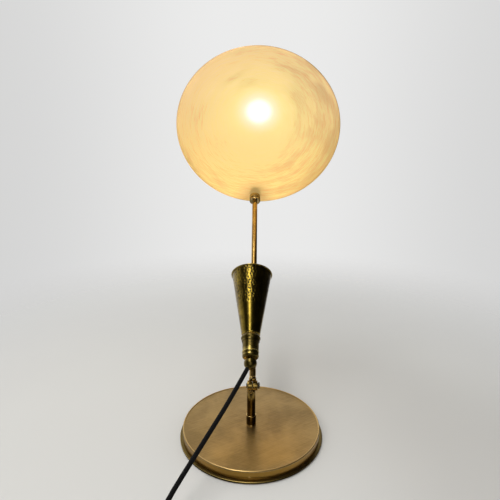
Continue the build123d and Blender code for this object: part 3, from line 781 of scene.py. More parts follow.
@dataclass
class MainsLead:
    """The lead from the outlet ball to the coil in front of the base, and its plug."""

    places: Places
    radius: float = 3.25
    sides: int = 20
    step: float = 2.4
    outlet_radius: float = 9.75
    outlet_station: float = 17.8
    coil_x: float = -15.0
    coil_y: float = -263.0
    coil_inner: float = 25.5
    half_turns: int = 12
    coil_gap: float = 0.5
    rest: float = 3.3
    points_a_half: int = 8
    # The free stretch, as in the construction
    free: tuple[Triple, ...] = (
        (-29.0, -54.0, 95.0), (-54.0, -93.0, 71.0), (-77.0, -132.0, 51.0), (-97.0, -170.0, 35.0),
        (-113.0, -210.0, 20.0), (-121.0, -250.0, 8.0), (-108.0, -288.0, 3.3))
    tail: tuple[Point, ...] = ((30.0, 0.0), (59.0, -9.0))
    plug_width: float = 36.0
    plug_thick: float = 20.6
    sleeve: float = 22.0

    def exit_point(self) -> Vector:
        """Where the lead leaves the outlet ball, in metres."""
        centre = self.places.head @ Vector((0, 0, self.outlet_station * MM))
        towards = Vector(self.free[0]) * MM - centre
        return centre + towards.normalized() * self.outlet_radius * MM

    def coil(self) -> list[Vector]:
        """The coil's control points in millimetres, two layers that spiral in and out again."""
        pitch = 2 * self.radius + self.coil_gap
        middle = self.half_turns // 2
        outer = self.coil_inner + middle * pitch / 2
        start = Vector((self.coil_x, self.coil_y - outer, self.rest))
        made = [Vector((-70.0, start.y, self.rest)), Vector((start.x - 2 * self.radius, start.y, self.rest))]
        forward = 1
        step = math.pi / self.points_a_half
        for number in range(self.half_turns):
            radius = self.coil_inner + abs(middle - number) * pitch / 2
            centre = start + Vector((0, radius * forward, 0))
            rise = pitch if number == middle else 0.0
            out = radius / math.cos(step / 2) * forward
            for index in range(self.points_a_half):
                angle = (index + 0.5) * step
                climb = rise * (index + 0.5) / self.points_a_half
                made.append(centre + Vector((out * math.sin(angle), -out * math.cos(angle), climb)))
            start = centre + Vector((0, radius * forward, rise))
            forward = -forward
        start = start + Vector((2 * self.radius * forward, 0, 0))
        return made + [start] + [start + Vector((x, y, 0)) for x, y in self.tail]

    def route(self) -> list[Vector]:
        """The centreline's points in metres, read from the route's NURBS spline."""
        points = [self.exit_point()] + [Vector(p) * MM for p in self.free] + [p * MM for p in self.coil()]
        curve = bpy.data.curves.new("lead_route", "CURVE")
        curve.dimensions = "3D"
        spline = curve.splines.new("NURBS")
        spline.points.add(len(points) - 1)
        for control, point in zip(spline.points, points):
            control.co = (*point, 1.0)
        spline.order_u = 3
        spline.use_endpoint_u = True
        curve.resolution_u = 12
        carrier = bpy.data.objects.new("lead_route", curve)
        mesh = bpy.data.meshes.new_from_object(carrier)
        line = [vertex.co.copy() for vertex in mesh.vertices]
        bpy.data.meshes.remove(mesh)
        bpy.data.objects.remove(carrier)
        bpy.data.curves.remove(curve)
        return line

    def spaced(self, line: list[Vector]) -> list[tuple[Vector, float]]:
        """The line again at even steps, each with its distance from the start in metres."""
        made = [(line[0], 0.0)]
        walked = 0.0
        due = self.step * MM
        for before, after in zip(line, line[1:]):
            length = (after - before).length
            while length > 0 and walked + length >= due:
                made.append((before.lerp(after, (due - walked) / length), due))
                due += self.step * MM
            walked += length
        if walked - made[-1][1] <= 0.3 * self.step * MM:
            made.pop()
        return made + [(line[-1], walked)]

    def tube(self, line: list[tuple[Vector, float]]) -> Solid:
        """The lead's skin, with metres along it and turns round it as its map."""
        mesh = bpy.data.meshes.new("mains_lead")
        build = bmesh.new()
        sheet = build.loops.layers.uv.new("UVMap")
        side = Vector((1, 0, 0))
        rings = []
        for index, (point, _) in enumerate(line):
            ahead = line[min(index + 1, len(line) - 1)][0] - line[max(index - 1, 0)][0]
            ahead.normalize()
            side = (side - ahead * side.dot(ahead)).normalized()
            up = ahead.cross(side)
            rings.append([
                build.verts.new(point + (side * math.cos(angle) + up * math.sin(angle)) * self.radius * MM)
                for angle in between(0, TURN, self.sides)])
        for index in range(len(rings) - 1):
            for number in range(self.sides):
                corners = ((index, number), (index, number + 1), (index + 1, number + 1), (index + 1, number))
                face = build.faces.new([rings[along][around % self.sides] for along, around in corners])
                face.smooth = True
                for loop, (along, around) in zip(face.loops, corners):
                    loop[sheet].uv = (line[along][1], around / self.sides)
        build.faces.new(list(reversed(rings[0])))
        build.faces.new(rings[-1])
        build.normal_update()
        build.to_mesh(mesh)
        build.free()
        piece = bpy.data.objects.new("mains_lead", mesh)
        bpy.context.scene.collection.objects.link(piece)
        return piece

    def plug_frame(self, end: Vector) -> Matrix:
        """The plug's frame at the lead's end, with its Z along the lead."""
        along = (Vector((*self.tail[1], 0)) - Vector((*self.tail[0], 0))).normalized()
        side = Vector((0, 0, 1)).cross(along)
        turn = Matrix((side, along.cross(side), along)).transposed().to_4x4()
        return Matrix.Translation(end) @ turn

    def plug(self) -> Solid:
        """A moulded two pin plug with a ribbed grip and a tapered sleeve."""
        wide, thick, foot = self.plug_width / 2, self.plug_thick / 2, self.sleeve
        body = Bench.block("plug_moulding", (-wide, -thick, foot), (wide, thick, foot + 36.0))
        Bench.round_edges(body, 5.5, 6)
        for number in range(5):
            low = foot + 9.0 + 4.2 * number
            for near, far in ((-wide - 2, -wide + 1.1), (wide - 1.1, wide + 2)):
                rib = Bench.block("rib", (near, -thick - 1, low), (far, thick + 1, low + 1.8))
                Bench.join(body, [rib], "DIFFERENCE")
        outline = [(0, 0.02), (5.2, 0.02)]
        for number in range(6):
            low = 2.4 + number * 3.0
            grow = 5.2 + 2.5 * low / foot
            outline += [(grow, low), (grow - 0.8, low + 0.5), (grow - 0.8, low + 1.5),
                        (grow + 0.1, low + 2.0)]
        outline += [(7.7, foot), (7.7, foot + 4), (0, foot + 4)]
        Bench.join(body, [Bench.turn("sleeve", outline, segments=48, closed=False)])
        return body

    def pins(self) -> Solid:
        """The plug's two pins, each with a rounded end and a sleeve at its foot."""
        low, top, thick = 58.0, 77.0, 2.4
        outline = [(0, low - 1), (thick, low - 1), (thick, low + 9), (2.25, low + 9.3)]
        outline += arc((0.75, top - 1.5), 1.5, 0, 90, 6) + [(0, top)]
        pair = [Bench.turn("pin", outline, moved(x, 0, 0), 32, closed=False) for x in (-9.5, 9.5)]
        choose(pair[0])
        pair[1].select_set(True)
        bpy.ops.object.join()
        piece = bpy.context.active_object
        piece.name = piece.data.name = "plug_contact_pins"
        return piece

    def strap(self) -> Solid:
        """A woven strap pulled tight round the coil's left side, with its end laid back on top."""
        pitch = 2 * self.radius + self.coil_gap
        reach = self.coil_inner + (self.half_turns // 2 - 1) * pitch / 2
        left = self.coil_x - reach - self.radius
        right = self.coil_x - self.coil_inner - pitch / 2 + self.radius
        along = self.coil_y + pitch / 2
        top = self.rest + pitch + self.radius
        band, half, spare = 0.6, 3.0, 30.0
        piece = Bench.block("coil_strap", (left - band - 0.1, along - spare, 0.05),
                            (right + band + 0.3, along + spare, top + band + 0.1))
        Bench.round_edges(piece, 3.7, 6)
        hollow = Bench.block("hollow", (left - 0.1, along - spare - 1, 0.45),
                             (right + 0.3, along + spare + 1, top + 0.1))
        Bench.round_edges(hollow, 3.2, 6)
        ends = [Bench.block("end", (left - 9, min(a, b), -5), (right + 9, max(a, b), top + 9))
                for a, b in ((along - half, along - 2 * spare), (along + half, along + 2 * spare))]
        Bench.join(piece, [hollow, *ends], "DIFFERENCE")
        laid = Bench.block("laid", (left + 3.5, along - half, top + band - 0.05),
                           (right - 5.0, along + half, top + 2 * band))
        Bench.join(piece, [laid])
        return piece

    def build(self) -> None:
        line = self.route()
        spaced = self.spaced(line)
        lead = self.tube(spaced)
        start = self.exit_point()
        lead.data.materials.append(Braid().make("lead_braid"))
        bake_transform(lead)
        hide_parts("cord_lead", "cord_coil", "cord_tail")
        place = self.plug_frame(line[-1])
        black = Plain((34, 34, 35), (24, 24, 25)).make("plug_moulding", place)
        plug = Bench.finish(self.plug(), "base", "plug_black", black, "plug_body", (0.35, 2, 40), 35, place)
        brass = AgedBrass((226, 200, 140), (196, 166, 104), smoothest=0.18, roughest=0.3, grain=Grain.DRAWN)
        pins = Bench.finish(self.pins(), "base", "contact_brass", brass.make("pin_brass", place), "plug_pins",
                            shade=35, place=place)
        weave = Felt((30, 30, 31), (12, 12, 13)).make("strap_weave")
        strap = Bench.finish(self.strap(), "base", "cord_braid", weave, edges=(0.15, 2, 50), shade=35)
        2 * self.radius * MM
        log.info("lead: %.3f m long, %d faces", spaced[-1][1], len(lead.data.polygons))


@dataclass
class Base:
    """Felt, flange and raised cover."""

    flange: float = 110.0
    felt: float = 106.0
    cover: float = 105.5
    flange_low: float = 1.0
    flange_top: float = 4.0
    cover_top: float = 18.0
    plate: float = 17.2
    bead: float = 1.2
    wall: float = 1.5
    groove: float = 1.5
    groove_top: float = 6.5

    def build(self) -> None:
        """Makes and dresses the three round pieces."""
        outline = [(30, 0), (self.felt, 0), (self.felt, 1), (30, 1)]
        Bench.finish(Bench.turn("base_felt", outline, segments=160), "base", "felt",
                     Felt().make("green_felt"), "felt_pad", (0.3, 2))
        outline = [(15, self.flange_low), (self.flange - 0.8, self.flange_low)]
        outline += arc((self.flange - 0.8, self.flange_low + 0.8), 0.8, -90, 0, 4)[1:]
        outline += arc((self.flange - 1.2, self.flange_top - 1.2), 1.2, 0, 90, 6) + [(15, self.flange_top)]
        # The flange's near-black tones are painted shade under the cover's edge, and a painted highlight runs
        # round its outer rounded edge.
        brass = AgedBrass((56, 43, 17), (30, 23, 8), (224, 192, 112), patch_size=0.05,
                          painted_highlight_radii=((109.3, 109.85),))
        Bench.finish(Bench.turn("base_foot_flange", outline, segments=256), "base", "base_steel",
                     brass.make("flange_brass"), "base_flange", shade=50)
        self.cover_piece()

    def cover_piece(self) -> None:
        """The raised cover, with its rolled rim, its groove and its brushed top, painted shade on its side
        wall and a painted highlight on its rim.
        """
        inner = self.cover - self.wall
        foot = self.cover - self.groove
        outline = [(foot, self.flange_top), (foot, self.groove_top - 0.3), (foot + 0.3, self.groove_top)]
        outline += arc((self.cover - 0.5, self.groove_top + 0.5), 0.5, -90, 0, 3) + [(self.cover, 11.0)]
        outline += arc((self.cover - self.bead, self.cover_top - self.bead), self.bead, 0, 158, 14)
        edge = outline[-1][0]
        outline += [(edge - 0.5, self.plate + 0.06), (edge - 1.2, self.plate)]
        outline += [(radius, self.plate) for radius in (90, 70, 50, 30, 15, 9, 7.4, 6.2, THREAD_BORE)]
        under = self.plate - self.wall
        outline += [(THREAD_BORE, under), (inner, under), (inner, 8.0),
                    (inner - self.groove, self.groove_top), (inner - self.groove, self.flange_top)]
        # Painted shade: the side wall in the deep tone. Painted highlight: a band in the worn tone on the
        # rolled rim's inner edge.
        brass = AgedBrass((176, 146, 92), (136, 112, 68), (206, 172, 108), smoothest=0.3, roughest=0.4,
                          grain=Grain.CROSSED, grain_share=0.42, patch_size=0.07, grain_depth=0.006,
                          cloud_depth=0.1, wear=0.85, lacquer=0.15, skirt=(self.flange_top, self.plate - 1.4),
                          painted_highlight_radii=((self.cover - 2 * self.bead, self.cover - 0.4),))
        Bench.finish(Bench.turn("base_brass_cover", outline, segments=256), "base", "base_brass",
                     brass.make("cover_brass"), "base_cover", shade=38)


@dataclass
class Stem:
    """Ferrule and tube between the base and the knuckle."""

    ferrule: float = 7.5
    tube: float = 6.5
    low: float = 17.2
    seat: float = 27.0
    ferrule_top: float = 34.5
    top: float = 74.8

    def build(self) -> None:
        """Makes both pieces with their softened edges."""
        wide, low, high, inner = self.ferrule, self.low, self.ferrule_top, self.tube + 0.05
        outline = [(THREAD_BORE, low), (wide, low), (wide, low + 0.9), (wide - 0.25, low + 1.2),
                   (wide, low + 1.5), (wide, high - 2.0), (wide - 0.3, high - 1.6), (wide, high - 1.2),
                   (wide, high), (inner, high), (inner, self.seat), (THREAD_BORE, self.seat)]
        # Painted highlights: bright lines at the ferrule's top edge and at its foot.
        turned = AgedBrass((132, 104, 46), (66, 51, 20), (236, 206, 140), smoothest=0.12, roughest=0.2,
                           patch_size=0.02, grain_share=0.5, wear=0.9,
                           painted_highlight_heights=((high - 0.8, high + 0.1), (low, low + 0.8)))
        Bench.finish(Bench.turn("stem_foot_ferrule", outline), "base", "stem_brass",
                     turned.make("ferrule_brass"), "stem_ferrule", (0.22, 3, 30))
        bore = self.tube - 1.4
        outline = [(bore, self.seat), (self.tube, self.seat), (self.tube, 50), (self.tube, self.top),
                   (bore, self.top)]
        drawn = AgedBrass((130, 103, 46), (62, 48, 18), smoothest=0.12, roughest=0.2, grain=Grain.DRAWN,
                          patch_size=0.02)
        Bench.finish(Bench.turn("stem_round_tube", outline), "base", "stem_brass",
                     drawn.make("stem_tube_brass"), "stem_tube", (0.25, 3))


@dataclass
class Knuckle:
    """The hinge on the stem: two cheeks, a screw with its washer and nut."""

    places: Places
    cheek: float = 7.5
    width: float = 7.6
    gap: float = 0.3
    web: float = 9.0
    stem_top: float = 74.8
    shoulder: float = 2.0
    bronze: AgedBrass = AgedBrass((168, 140, 74), (84, 64, 28), smoothest=0.2, roughest=0.34,
                                  patch_size=0.012)
    steel: DullSteel = DullSteel((92, 86, 74), (46, 42, 36), 0.3)

    def cheek_piece(self, name: str, left: float) -> Solid:
        """One round cheek, domed at its rim, with the pin's bore, from its left face on."""
        soft = 0.7
        right = left + self.width
        outline = [(PIN_BORE, left), (self.cheek - soft, left)]
        outline += arc((self.cheek - soft, left + soft), soft, -90, 0, 5)[1:]
        outline += arc((self.cheek - soft, right - soft), soft, 0, 90, 5) + [(PIN_BORE, right)]
        return Bench.turn(name, outline, self.places.pin)

    def lower(self) -> None:
        """The half on the stem: spigot, shoulder, web and the left cheek."""
        pivot = self.places.pivot / MM
        left = -self.gap / 2 - self.width
        low, top = self.stem_top, self.stem_top + self.shoulder
        piece = self.cheek_piece("knuckle_stem_half", left)
        outline = [(0, low - 14), (5.04, low - 14), (5.04, low), (6.5, low), (6.5, top), (0, top)]
        foot = Bench.turn("foot", outline, closed=False)
        web = Bench.block("web", (pivot.x + left, -self.web / 2, low + 0.5),
                          (pivot.x - self.gap / 2, self.web / 2, pivot.z - 4.5))
        Bench.join(piece, [foot, web])
        Bench.finish(piece, "base", "knuckle_bronze", self.bronze.make("knuckle_low_bronze", self.places.pin),
                     "knuckle_lower", (0.3, 3, 38))

    def upper(self) -> None:
        """The half on the rod: the right cheek, the ringed neck and its spigot."""
        low, top, neck, spigot = 7.9, 12.6, 5.7, 3.94
        piece = self.cheek_piece("knuckle_rod_half", self.gap / 2)
        outline = [(0, low), (neck, low), (neck, low + 1.2), (neck - 0.6, low + 1.6), (neck - 0.6, low + 2.0),
                   (neck, low + 2.4), (neck, top - 0.7), (neck - 0.5, top), (spigot, top), (spigot, top + 12),
                   (0, top + 12)]
        stub = Bench.turn("stub", outline, self.places.arm, closed=False)
        web = Bench.block("web", (self.gap / 2, -self.web / 2, 4.5), (neck, self.web / 2, low + 0.6),
                          self.places.arm)
        Bench.join(piece, [web, stub])
        Bench.finish(piece, "arm", "knuckle_bronze", self.bronze.make("knuckle_high_bronze", self.places.pin),
                     "knuckle_upper", (0.25, 3, 38))

    def screw(self, right: float) -> None:
        """The slotted screw through both cheeks."""
        left = -right
        head, shank = 4.0, 3.0
        outline = [(0, left - 1.6), (head - 0.6, left - 1.6)]
        outline += arc((head - 0.6, left - 1.0), 0.6, -90, 0, 4)[1:] + [(head, left), (shank, left)]
        outline += [(shank, right + 3.3), (shank - 0.4, right + 3.45), (0, right + 3.45)]
        screw = Bench.turn("knuckle_slotted_screw", outline, self.places.pin, 64, closed=False)
        slot = Bench.block("slot", (-0.6, -6, left - 2.4), (0.6, 6, left - 0.9), self.places.pin)
        Bench.join(screw, [slot], "DIFFERENCE")
        Bench.finish(screw, "base", "dark_steel", self.steel.make("screw_steel", self.places.pin),
                     "knuckle_screw", (0.12, 2, 50))

    def nut(self, low: float) -> None:
        """The hexagon nut, chamfered on both faces."""
        corner = 8.6 / math.sqrt(3)
        high = low + 2.1
        outline = [(PIN_BORE, low), (corner, low), (corner, high), (PIN_BORE, high)]
        nut = Bench.turn("knuckle_hex_nut", outline, segments=6)
        Bench.put(nut, Matrix.Rotation(math.radians(30), 4, "Z"))
        outline = [(0, low), (4.2, low), (corner + 0.2, low + 0.5), (corner + 0.2, high - 0.5), (4.2, high),
                   (0, high)]
        keep = Bench.turn("keep", outline, segments=64, closed=False)
        Bench.join(nut, [keep], "INTERSECT")
        Bench.finish(nut, "base", "dark_steel", self.steel.make("nut_steel", self.places.pin), "knuckle_nut",
                     (0.12, 2, 25), 30, self.places.pin)

    def build(self) -> None:
        """Makes the whole hinge."""
        self.lower()
        self.upper()
        right = self.gap / 2 + self.width
        self.screw(right)
        low, high = right + 0.15, right + 0.95
        outline = [(PIN_BORE, low), (4.2, low), (4.2, high), (PIN_BORE, high)]
        washer = Bench.turn("knuckle_spring_washer", outline, self.places.pin, 64)
        Bench.finish(washer, "base", "dark_steel", self.steel.make("washer_steel", self.places.pin),
                     "knuckle_washer", (0.15, 2))
        self.nut(high)


@dataclass
class RodAndRings:
    """The long rod and the two rings that close its ball joint."""

    places: Places
    rod: float = 5.0
    ring: float = 10.5
    rod_low: float = 12.6
    rod_top: float = 377.0

    def ring_side(self, low: float, high: float, soft: float) -> Points:
        """The barrel shaped outside of a ring."""
        made = arc((self.ring - soft, low + soft), soft, -90, 0, 6)
        return made + arc((self.ring - soft, high - soft), soft, 0, 90, 6)

    def build(self) -> None:
        """Makes the rod, the socket ring and the cap ring."""
        arm = self.places.arm
        bore = self.rod - 1.0
        outline = [(bore, self.rod_low)] + [(self.rod, z) for z in between(self.rod_low, self.rod_top, 12)]
        outline += [(self.rod, self.rod_top), (bore, self.rod_top)]
        brass = AgedBrass((196, 158, 86), (138, 106, 50), smoothest=0.22, roughest=0.34, grain=Grain.DRAWN)
        Bench.finish(Bench.turn("arm_long_rod", outline, arm, 80), "arm", "rod_brass",
                     brass.make("rod_drawn_brass", arm), "arm_rod", (0.2, 2))
        bronze = AgedBrass((206, 182, 132), (104, 84, 48), smoothest=0.12, roughest=0.24, patch_size=0.01)
        low, high, spigot, thread = self.rod_top, 381.0, 3.95, 9.0
        outline = [(0, low - 12), (spigot - 0.4, low - 12), (spigot, low - 11.6), (spigot, low)]
        outline += self.ring_side(low, high, 1.1)
        outline += [(thread, high), (thread, 387.8), (7.7, 387.8), (7.7, 380.5), (6.0, 380.5), (6.0, 378.2),
                    (0, 378.2)]
        Bench.finish(Bench.turn("swivel_socket_ring", outline, arm, closed=False), "arm", "ring_bronze",
                     bronze.make("socket_bronze", arm), "swivel_socket")
        low, lip_low, high, lip = 381.8, 388.0, 391.5, 6.3
        mouth = lip + (high - lip_low) * math.tan(math.radians(41))
        inside = thread + 0.05
        outline = [(inside, low)] + self.ring_side(low, high, 1.2)
        outline += [(mouth + 0.3, high), (mouth, high - 0.15), (lip, lip_low), (inside, lip_low)]
        Bench.finish(Bench.turn("swivel_cap_ring", outline, arm), "arm", "ring_bronze",
                     bronze.make("cap_bronze", arm), "swivel_cap")


@dataclass
class Reflector:
    """The dish with its ball stud, washer and domed nut."""

    places: Places
    radius: float = 150.0
    wall: float = 1.0
    crown: float = 150.0
    crown_slope: float = 8.0
    skirt: float = 1000.0
    bead: float = 1.5
    hole_inset: float = 10.0
    seat: float = 15.0
    ball: float = 6.5
    stud: float = 2.5

    def skirt_centre(self) -> Point:
        """Radius and height of the skirt arc's centre."""
        slope = math.radians(self.crown_slope)
        edge = self.crown * math.sin(slope)
        return (edge - self.skirt * math.sin(slope), self.crown + (self.skirt - self.crown) * math.cos(slope))

    def at(self, slope: float, behind: float) -> Point:
        """A point of the wall where it has this slope in degrees."""
        turn = math.radians(slope)
        centre, reach = (0.0, self.crown), self.crown + behind
        if slope > self.crown_slope:
            centre, reach = self.skirt_centre(), self.skirt + behind
        return (centre[0] + reach * math.sin(turn), centre[1] - reach * math.cos(turn))

    def slope_at(self, radius: float) -> float:
        """The wall's slope in degrees at a radius of the mirror face."""
        return math.degrees(math.asin((radius - self.skirt_centre()[0]) / self.skirt))

    def dish(self) -> None:
        """The spun sheet, from its middle over the rolled rim and back."""
        rim = self.slope_at(self.radius - self.bead)
        slopes = between(0, self.crown_slope, 16) + between(self.crown_slope, rim, 40) + [rim]
        face = [self.at(slope, 0) for slope in slopes]
        back = [self.at(slope, self.wall) for slope in reversed(slopes)]
        spread = math.degrees(math.asin(self.wall / 2 / self.bead))
        roll = arc(self.at(rim, self.wall / 2), self.bead, 180 + rim - spread, rim - 180 + spread, 20)
        slope = self.slope_at(self.radius - self.hole_inset)
        hole = self.at(slope, 0)
        tipped = Matrix.Rotation(math.radians(180 + slope), 4, "X")
        place = self.places.stud @ moved(0, 0, self.seat) @ tipped @ moved(0, hole[0], -hole[1])
        # The dish's material carries the painted glow of its lamp and the painted reflection of the bulb.
        gold = DishGold(place.to_3x3() @ Vector((0, 0, 1)))
        dish = Bench.turn("reflector_gold_dish", face[:-1] + roll + back[1:], place, 256, closed=False)
        Bench.finish(dish, "reflector", "dish_gold", gold.make("dish_gold_with_painted_glow", place), "reflector_dish",
                     shade=60)

    def hardware(self) -> None:
        """Ball with its stud, the washer and the domed nut behind."""
        place = self.places.stud
        steel = DullSteel((206, 204, 198), (168, 166, 160), 0.14)
        top = self.seat - 0.05
        end = self.seat + self.wall + 6.5
        ball = arc((0, 0), self.ball, -90, math.degrees(math.acos(self.stud / self.ball)), 24)
        outline = [(0, -self.ball)] + ball[1:]
        outline += [(self.stud, top - 1.35), (5.5, top - 1.35), (5.5, top), (2.0, top), (2.0, end - 0.3),
                    (1.7, end), (0, end)]
        stud = Bench.turn("swivel_ball_stud", outline, place, 64, closed=False)
        Bench.finish(stud, "reflector", "ball_steel", steel.make("ball_polished_steel", place), "swivel_ball",
                     (0.2, 2, 50))
        low, bore, wide = self.seat + self.wall + 0.05, 2.05, 4.5
        foot, top = low + 1, low + 7.5
        outline = [(bore, low), (6, low), (6, foot), (bore, foot)]
        Bench.finish(Bench.turn("dish_back_washer", outline, place, 64), "reflector", "ball_steel",
                     steel.make("washer_polished_steel", place), "back_washer", (0.25, 3))
        outline = [(bore, foot), (wide, foot), (wide, foot + 2.0), (wide - 0.25, foot + 2.2)]
        outline += arc((wide - 0.25 - 3.0, top - 3.0), 3.0, 0, 90, 10)
        outline += [(0, top), (0, foot + 5.9), (bore, foot + 5.9)]
        bronze = AgedBrass((186, 158, 100), (110, 86, 46), smoothest=0.16, roughest=0.28, patch_size=0.01)
        Bench.finish(Bench.turn("dish_domed_nut", outline, place, 64), "reflector", "ring_bronze",
                     bronze.make("dome_bronze", place), "dome_nut", (0.15, 2, 50))


def holder_bronze(wear: float = 0.6, *painted_highlight_bands: Point) -> AgedBrass:
    """The dark bronze of the lampholder, with painted highlight bands across its height."""
    return AgedBrass((128, 109, 50), (66, 55, 22), (214, 190, 104), smoothest=0.24, roughest=0.38,
                     patch_size=0.012, wear=wear, lacquer=0.15, painted_highlight_heights=painted_highlight_bands)


@dataclass
class LampHead:
    """Outlet ball, cap, threaded holder and collar with its bracket."""

    places: Places
    outlet: float = 9.75
    outlet_station: float = 17.8
    cap_low: float = 25.4
    cap_top: float = 36.0
    cap_radius: float = 12.45
    cap_wall: float = 1.4
    holder: float = 12.35
    thread: float = 11.0
    collar_low: float = 52.4
    collar_top: float = 63.3
    collar: float = 15.0
    clamp: float = 9.0

    def ball(self, first_point: Vector) -> None:
        """The outlet ball, bored for the nipple above and for the lead.

        Args:
            first_point: the lead's first point after the ball, in metres.
        """
        middle, radius, bore = self.outlet_station, self.outlet, 3.5
        centre = self.places.head @ Vector((0, 0, middle * MM))
        top = math.degrees(math.asin((self.cap_low - middle) / radius))
        outline = [(0, middle - radius)] + arc((0, middle), radius, -90, top, 28)[1:]
        outline += [(THREAD_BORE, self.cap_low), (THREAD_BORE, 19.0), (bore, 19.0), (bore, middle),
                    (0, middle)]
        piece = Bench.turn("cord_outlet_ball", outline, self.places.head, closed=False)
        towards = (first_point - centre).to_track_quat("Z", "Y").to_matrix().to_4x4()
        outline = [(0, -1.0), (bore, 0.0), (bore, radius - 0.9), (3.9, radius - 0.45), (3.9, 14), (0, 14)]
        drill = Bench.turn("drill", outline, Matrix.Translation(centre) @ towards, 48, closed=False)
        Bench.join(piece, [drill], "DIFFERENCE")
        Bench.finish(piece, "arm", "holder_bronze", holder_bronze(0.2).make("ball_bronze", self.places.head),
                     "cord_ball", (0.18, 2, 50), 35)

    def cap(self) -> None:
        """The lampholder's cap, with its round foot and its bead."""
        radius, low, foot, soft = self.cap_radius, self.cap_low, 8.9, 3.55
        inside = radius - self.cap_wall + 0.05
        outline = [(THREAD_BORE, low)] + arc((foot, low + soft), soft, -90, 0, 8)
        outline += [(radius, 30.4), (radius, 34.3)] + arc((radius - 0.45, 35.1), 0.8, -45, 45, 6)
        outline += [(radius, self.cap_top), (inside, self.cap_top), (inside, 30.0), (9.0, low + 2),
                    (THREAD_BORE, low + 2)]
        # Painted highlights on the cap's bead and at the top of its rounded foot.
        bronze = holder_bronze(0.9, (34.4, 35.8), (29.4, 30.3))
        Bench.finish(Bench.turn("holder_round_cap", outline, self.places.head), "arm", "holder_bronze",
                     bronze.make("cap_dark_bronze", self.places.head), "holder_cap", shade=38)

    def shell(self) -> None:
        """The threaded shell, with its fine rings under the collar."""
        wide, thread, low, top, deep = self.holder, self.thread, 31.5, 69.5, 0.28
        outline = [(11.05, low), (11.05, self.cap_top), (wide, self.cap_top), (wide, 40.4)]
        for z in (40.6 + 1.3 * number for number in range(9)):
            outline += [(wide, z), (wide - deep, z + 0.4), (wide - deep, z + 0.65), (wide, z + 1.05)]
        outline += [(wide, 53.5), (13.0, 53.5), (13.2, 53.8), (13.2, 55.4), (thread, 55.4)]
        for z in (55.8 + 1.35 * number for number in range(10)):
            outline += [(thread, z), (thread - 0.35, z + 0.5), (thread, z + 1.0)]
        outline += [(thread, top), (thread - 1.3, top), (thread - 1.3, low)]
        Bench.finish(Bench.turn("holder_threaded_shell", outline, self.places.head), "arm", "holder_bronze",
                     holder_bronze(0.4).make("shell_bronze", self.places.head), "holder_shell", shade=30)

    def bracket(self) -> None:
        """Collar and clamp on one bar, with its bores."""
        head, arm, soft = self.places.head, self.places.arm, 1.6
        low, top, wide = self.collar_low, self.collar_top, self.collar
        middle = (low + top) / 2
        outline = [(self.thread + 0.05, low + 3), (13.5, low + 3), (13.5, low), (wide - soft, low)]
        outline += arc((wide - 3.2, middle), 3.2, -50, 50, 10)
        outline += [(wide - soft, top), (self.thread + 0.05, top)]
        piece = Bench.turn("lamp_bracket_collar", outline, head, 128)
        outline = [(THREAD_BORE, low), (self.clamp, low), (self.clamp, top), (THREAD_BORE, top)]
        clamp = Bench.turn("clamp", outline, arm)
        Bench.round_edges(clamp, 1.0, 4)
        bar = Bench.block("bar", (LAMP_SIDE / 2 - 5, -LAMP_OFFSET + wide - 1.2, middle - 4),
                          (LAMP_SIDE / 2 + 5, -self.clamp + 0.8, middle + 4), arm)
        Bench.round_edges(bar, 1.2, 4)
        Bench.join(piece, [clamp, bar])
        hole = arm @ moved(0, 4.0, middle) @ Matrix.Rotation(-math.pi / 2, 4, "X")
        drill = Bench.turn("drill", [(0, 0), (2.05, 0), (2.05, 7), (0, 7)], hole, 32, closed=False)
        Bench.join(piece, [drill], "DIFFERENCE")
        # A painted highlight along the collar's top edge.
        bronze = holder_bronze(0.9, (62.4, 63.4)).make("collar_bronze", head)
        Bench.finish(piece, "arm", "holder_bronze", bronze, "lamp_bracket", (0.25, 2, 45))


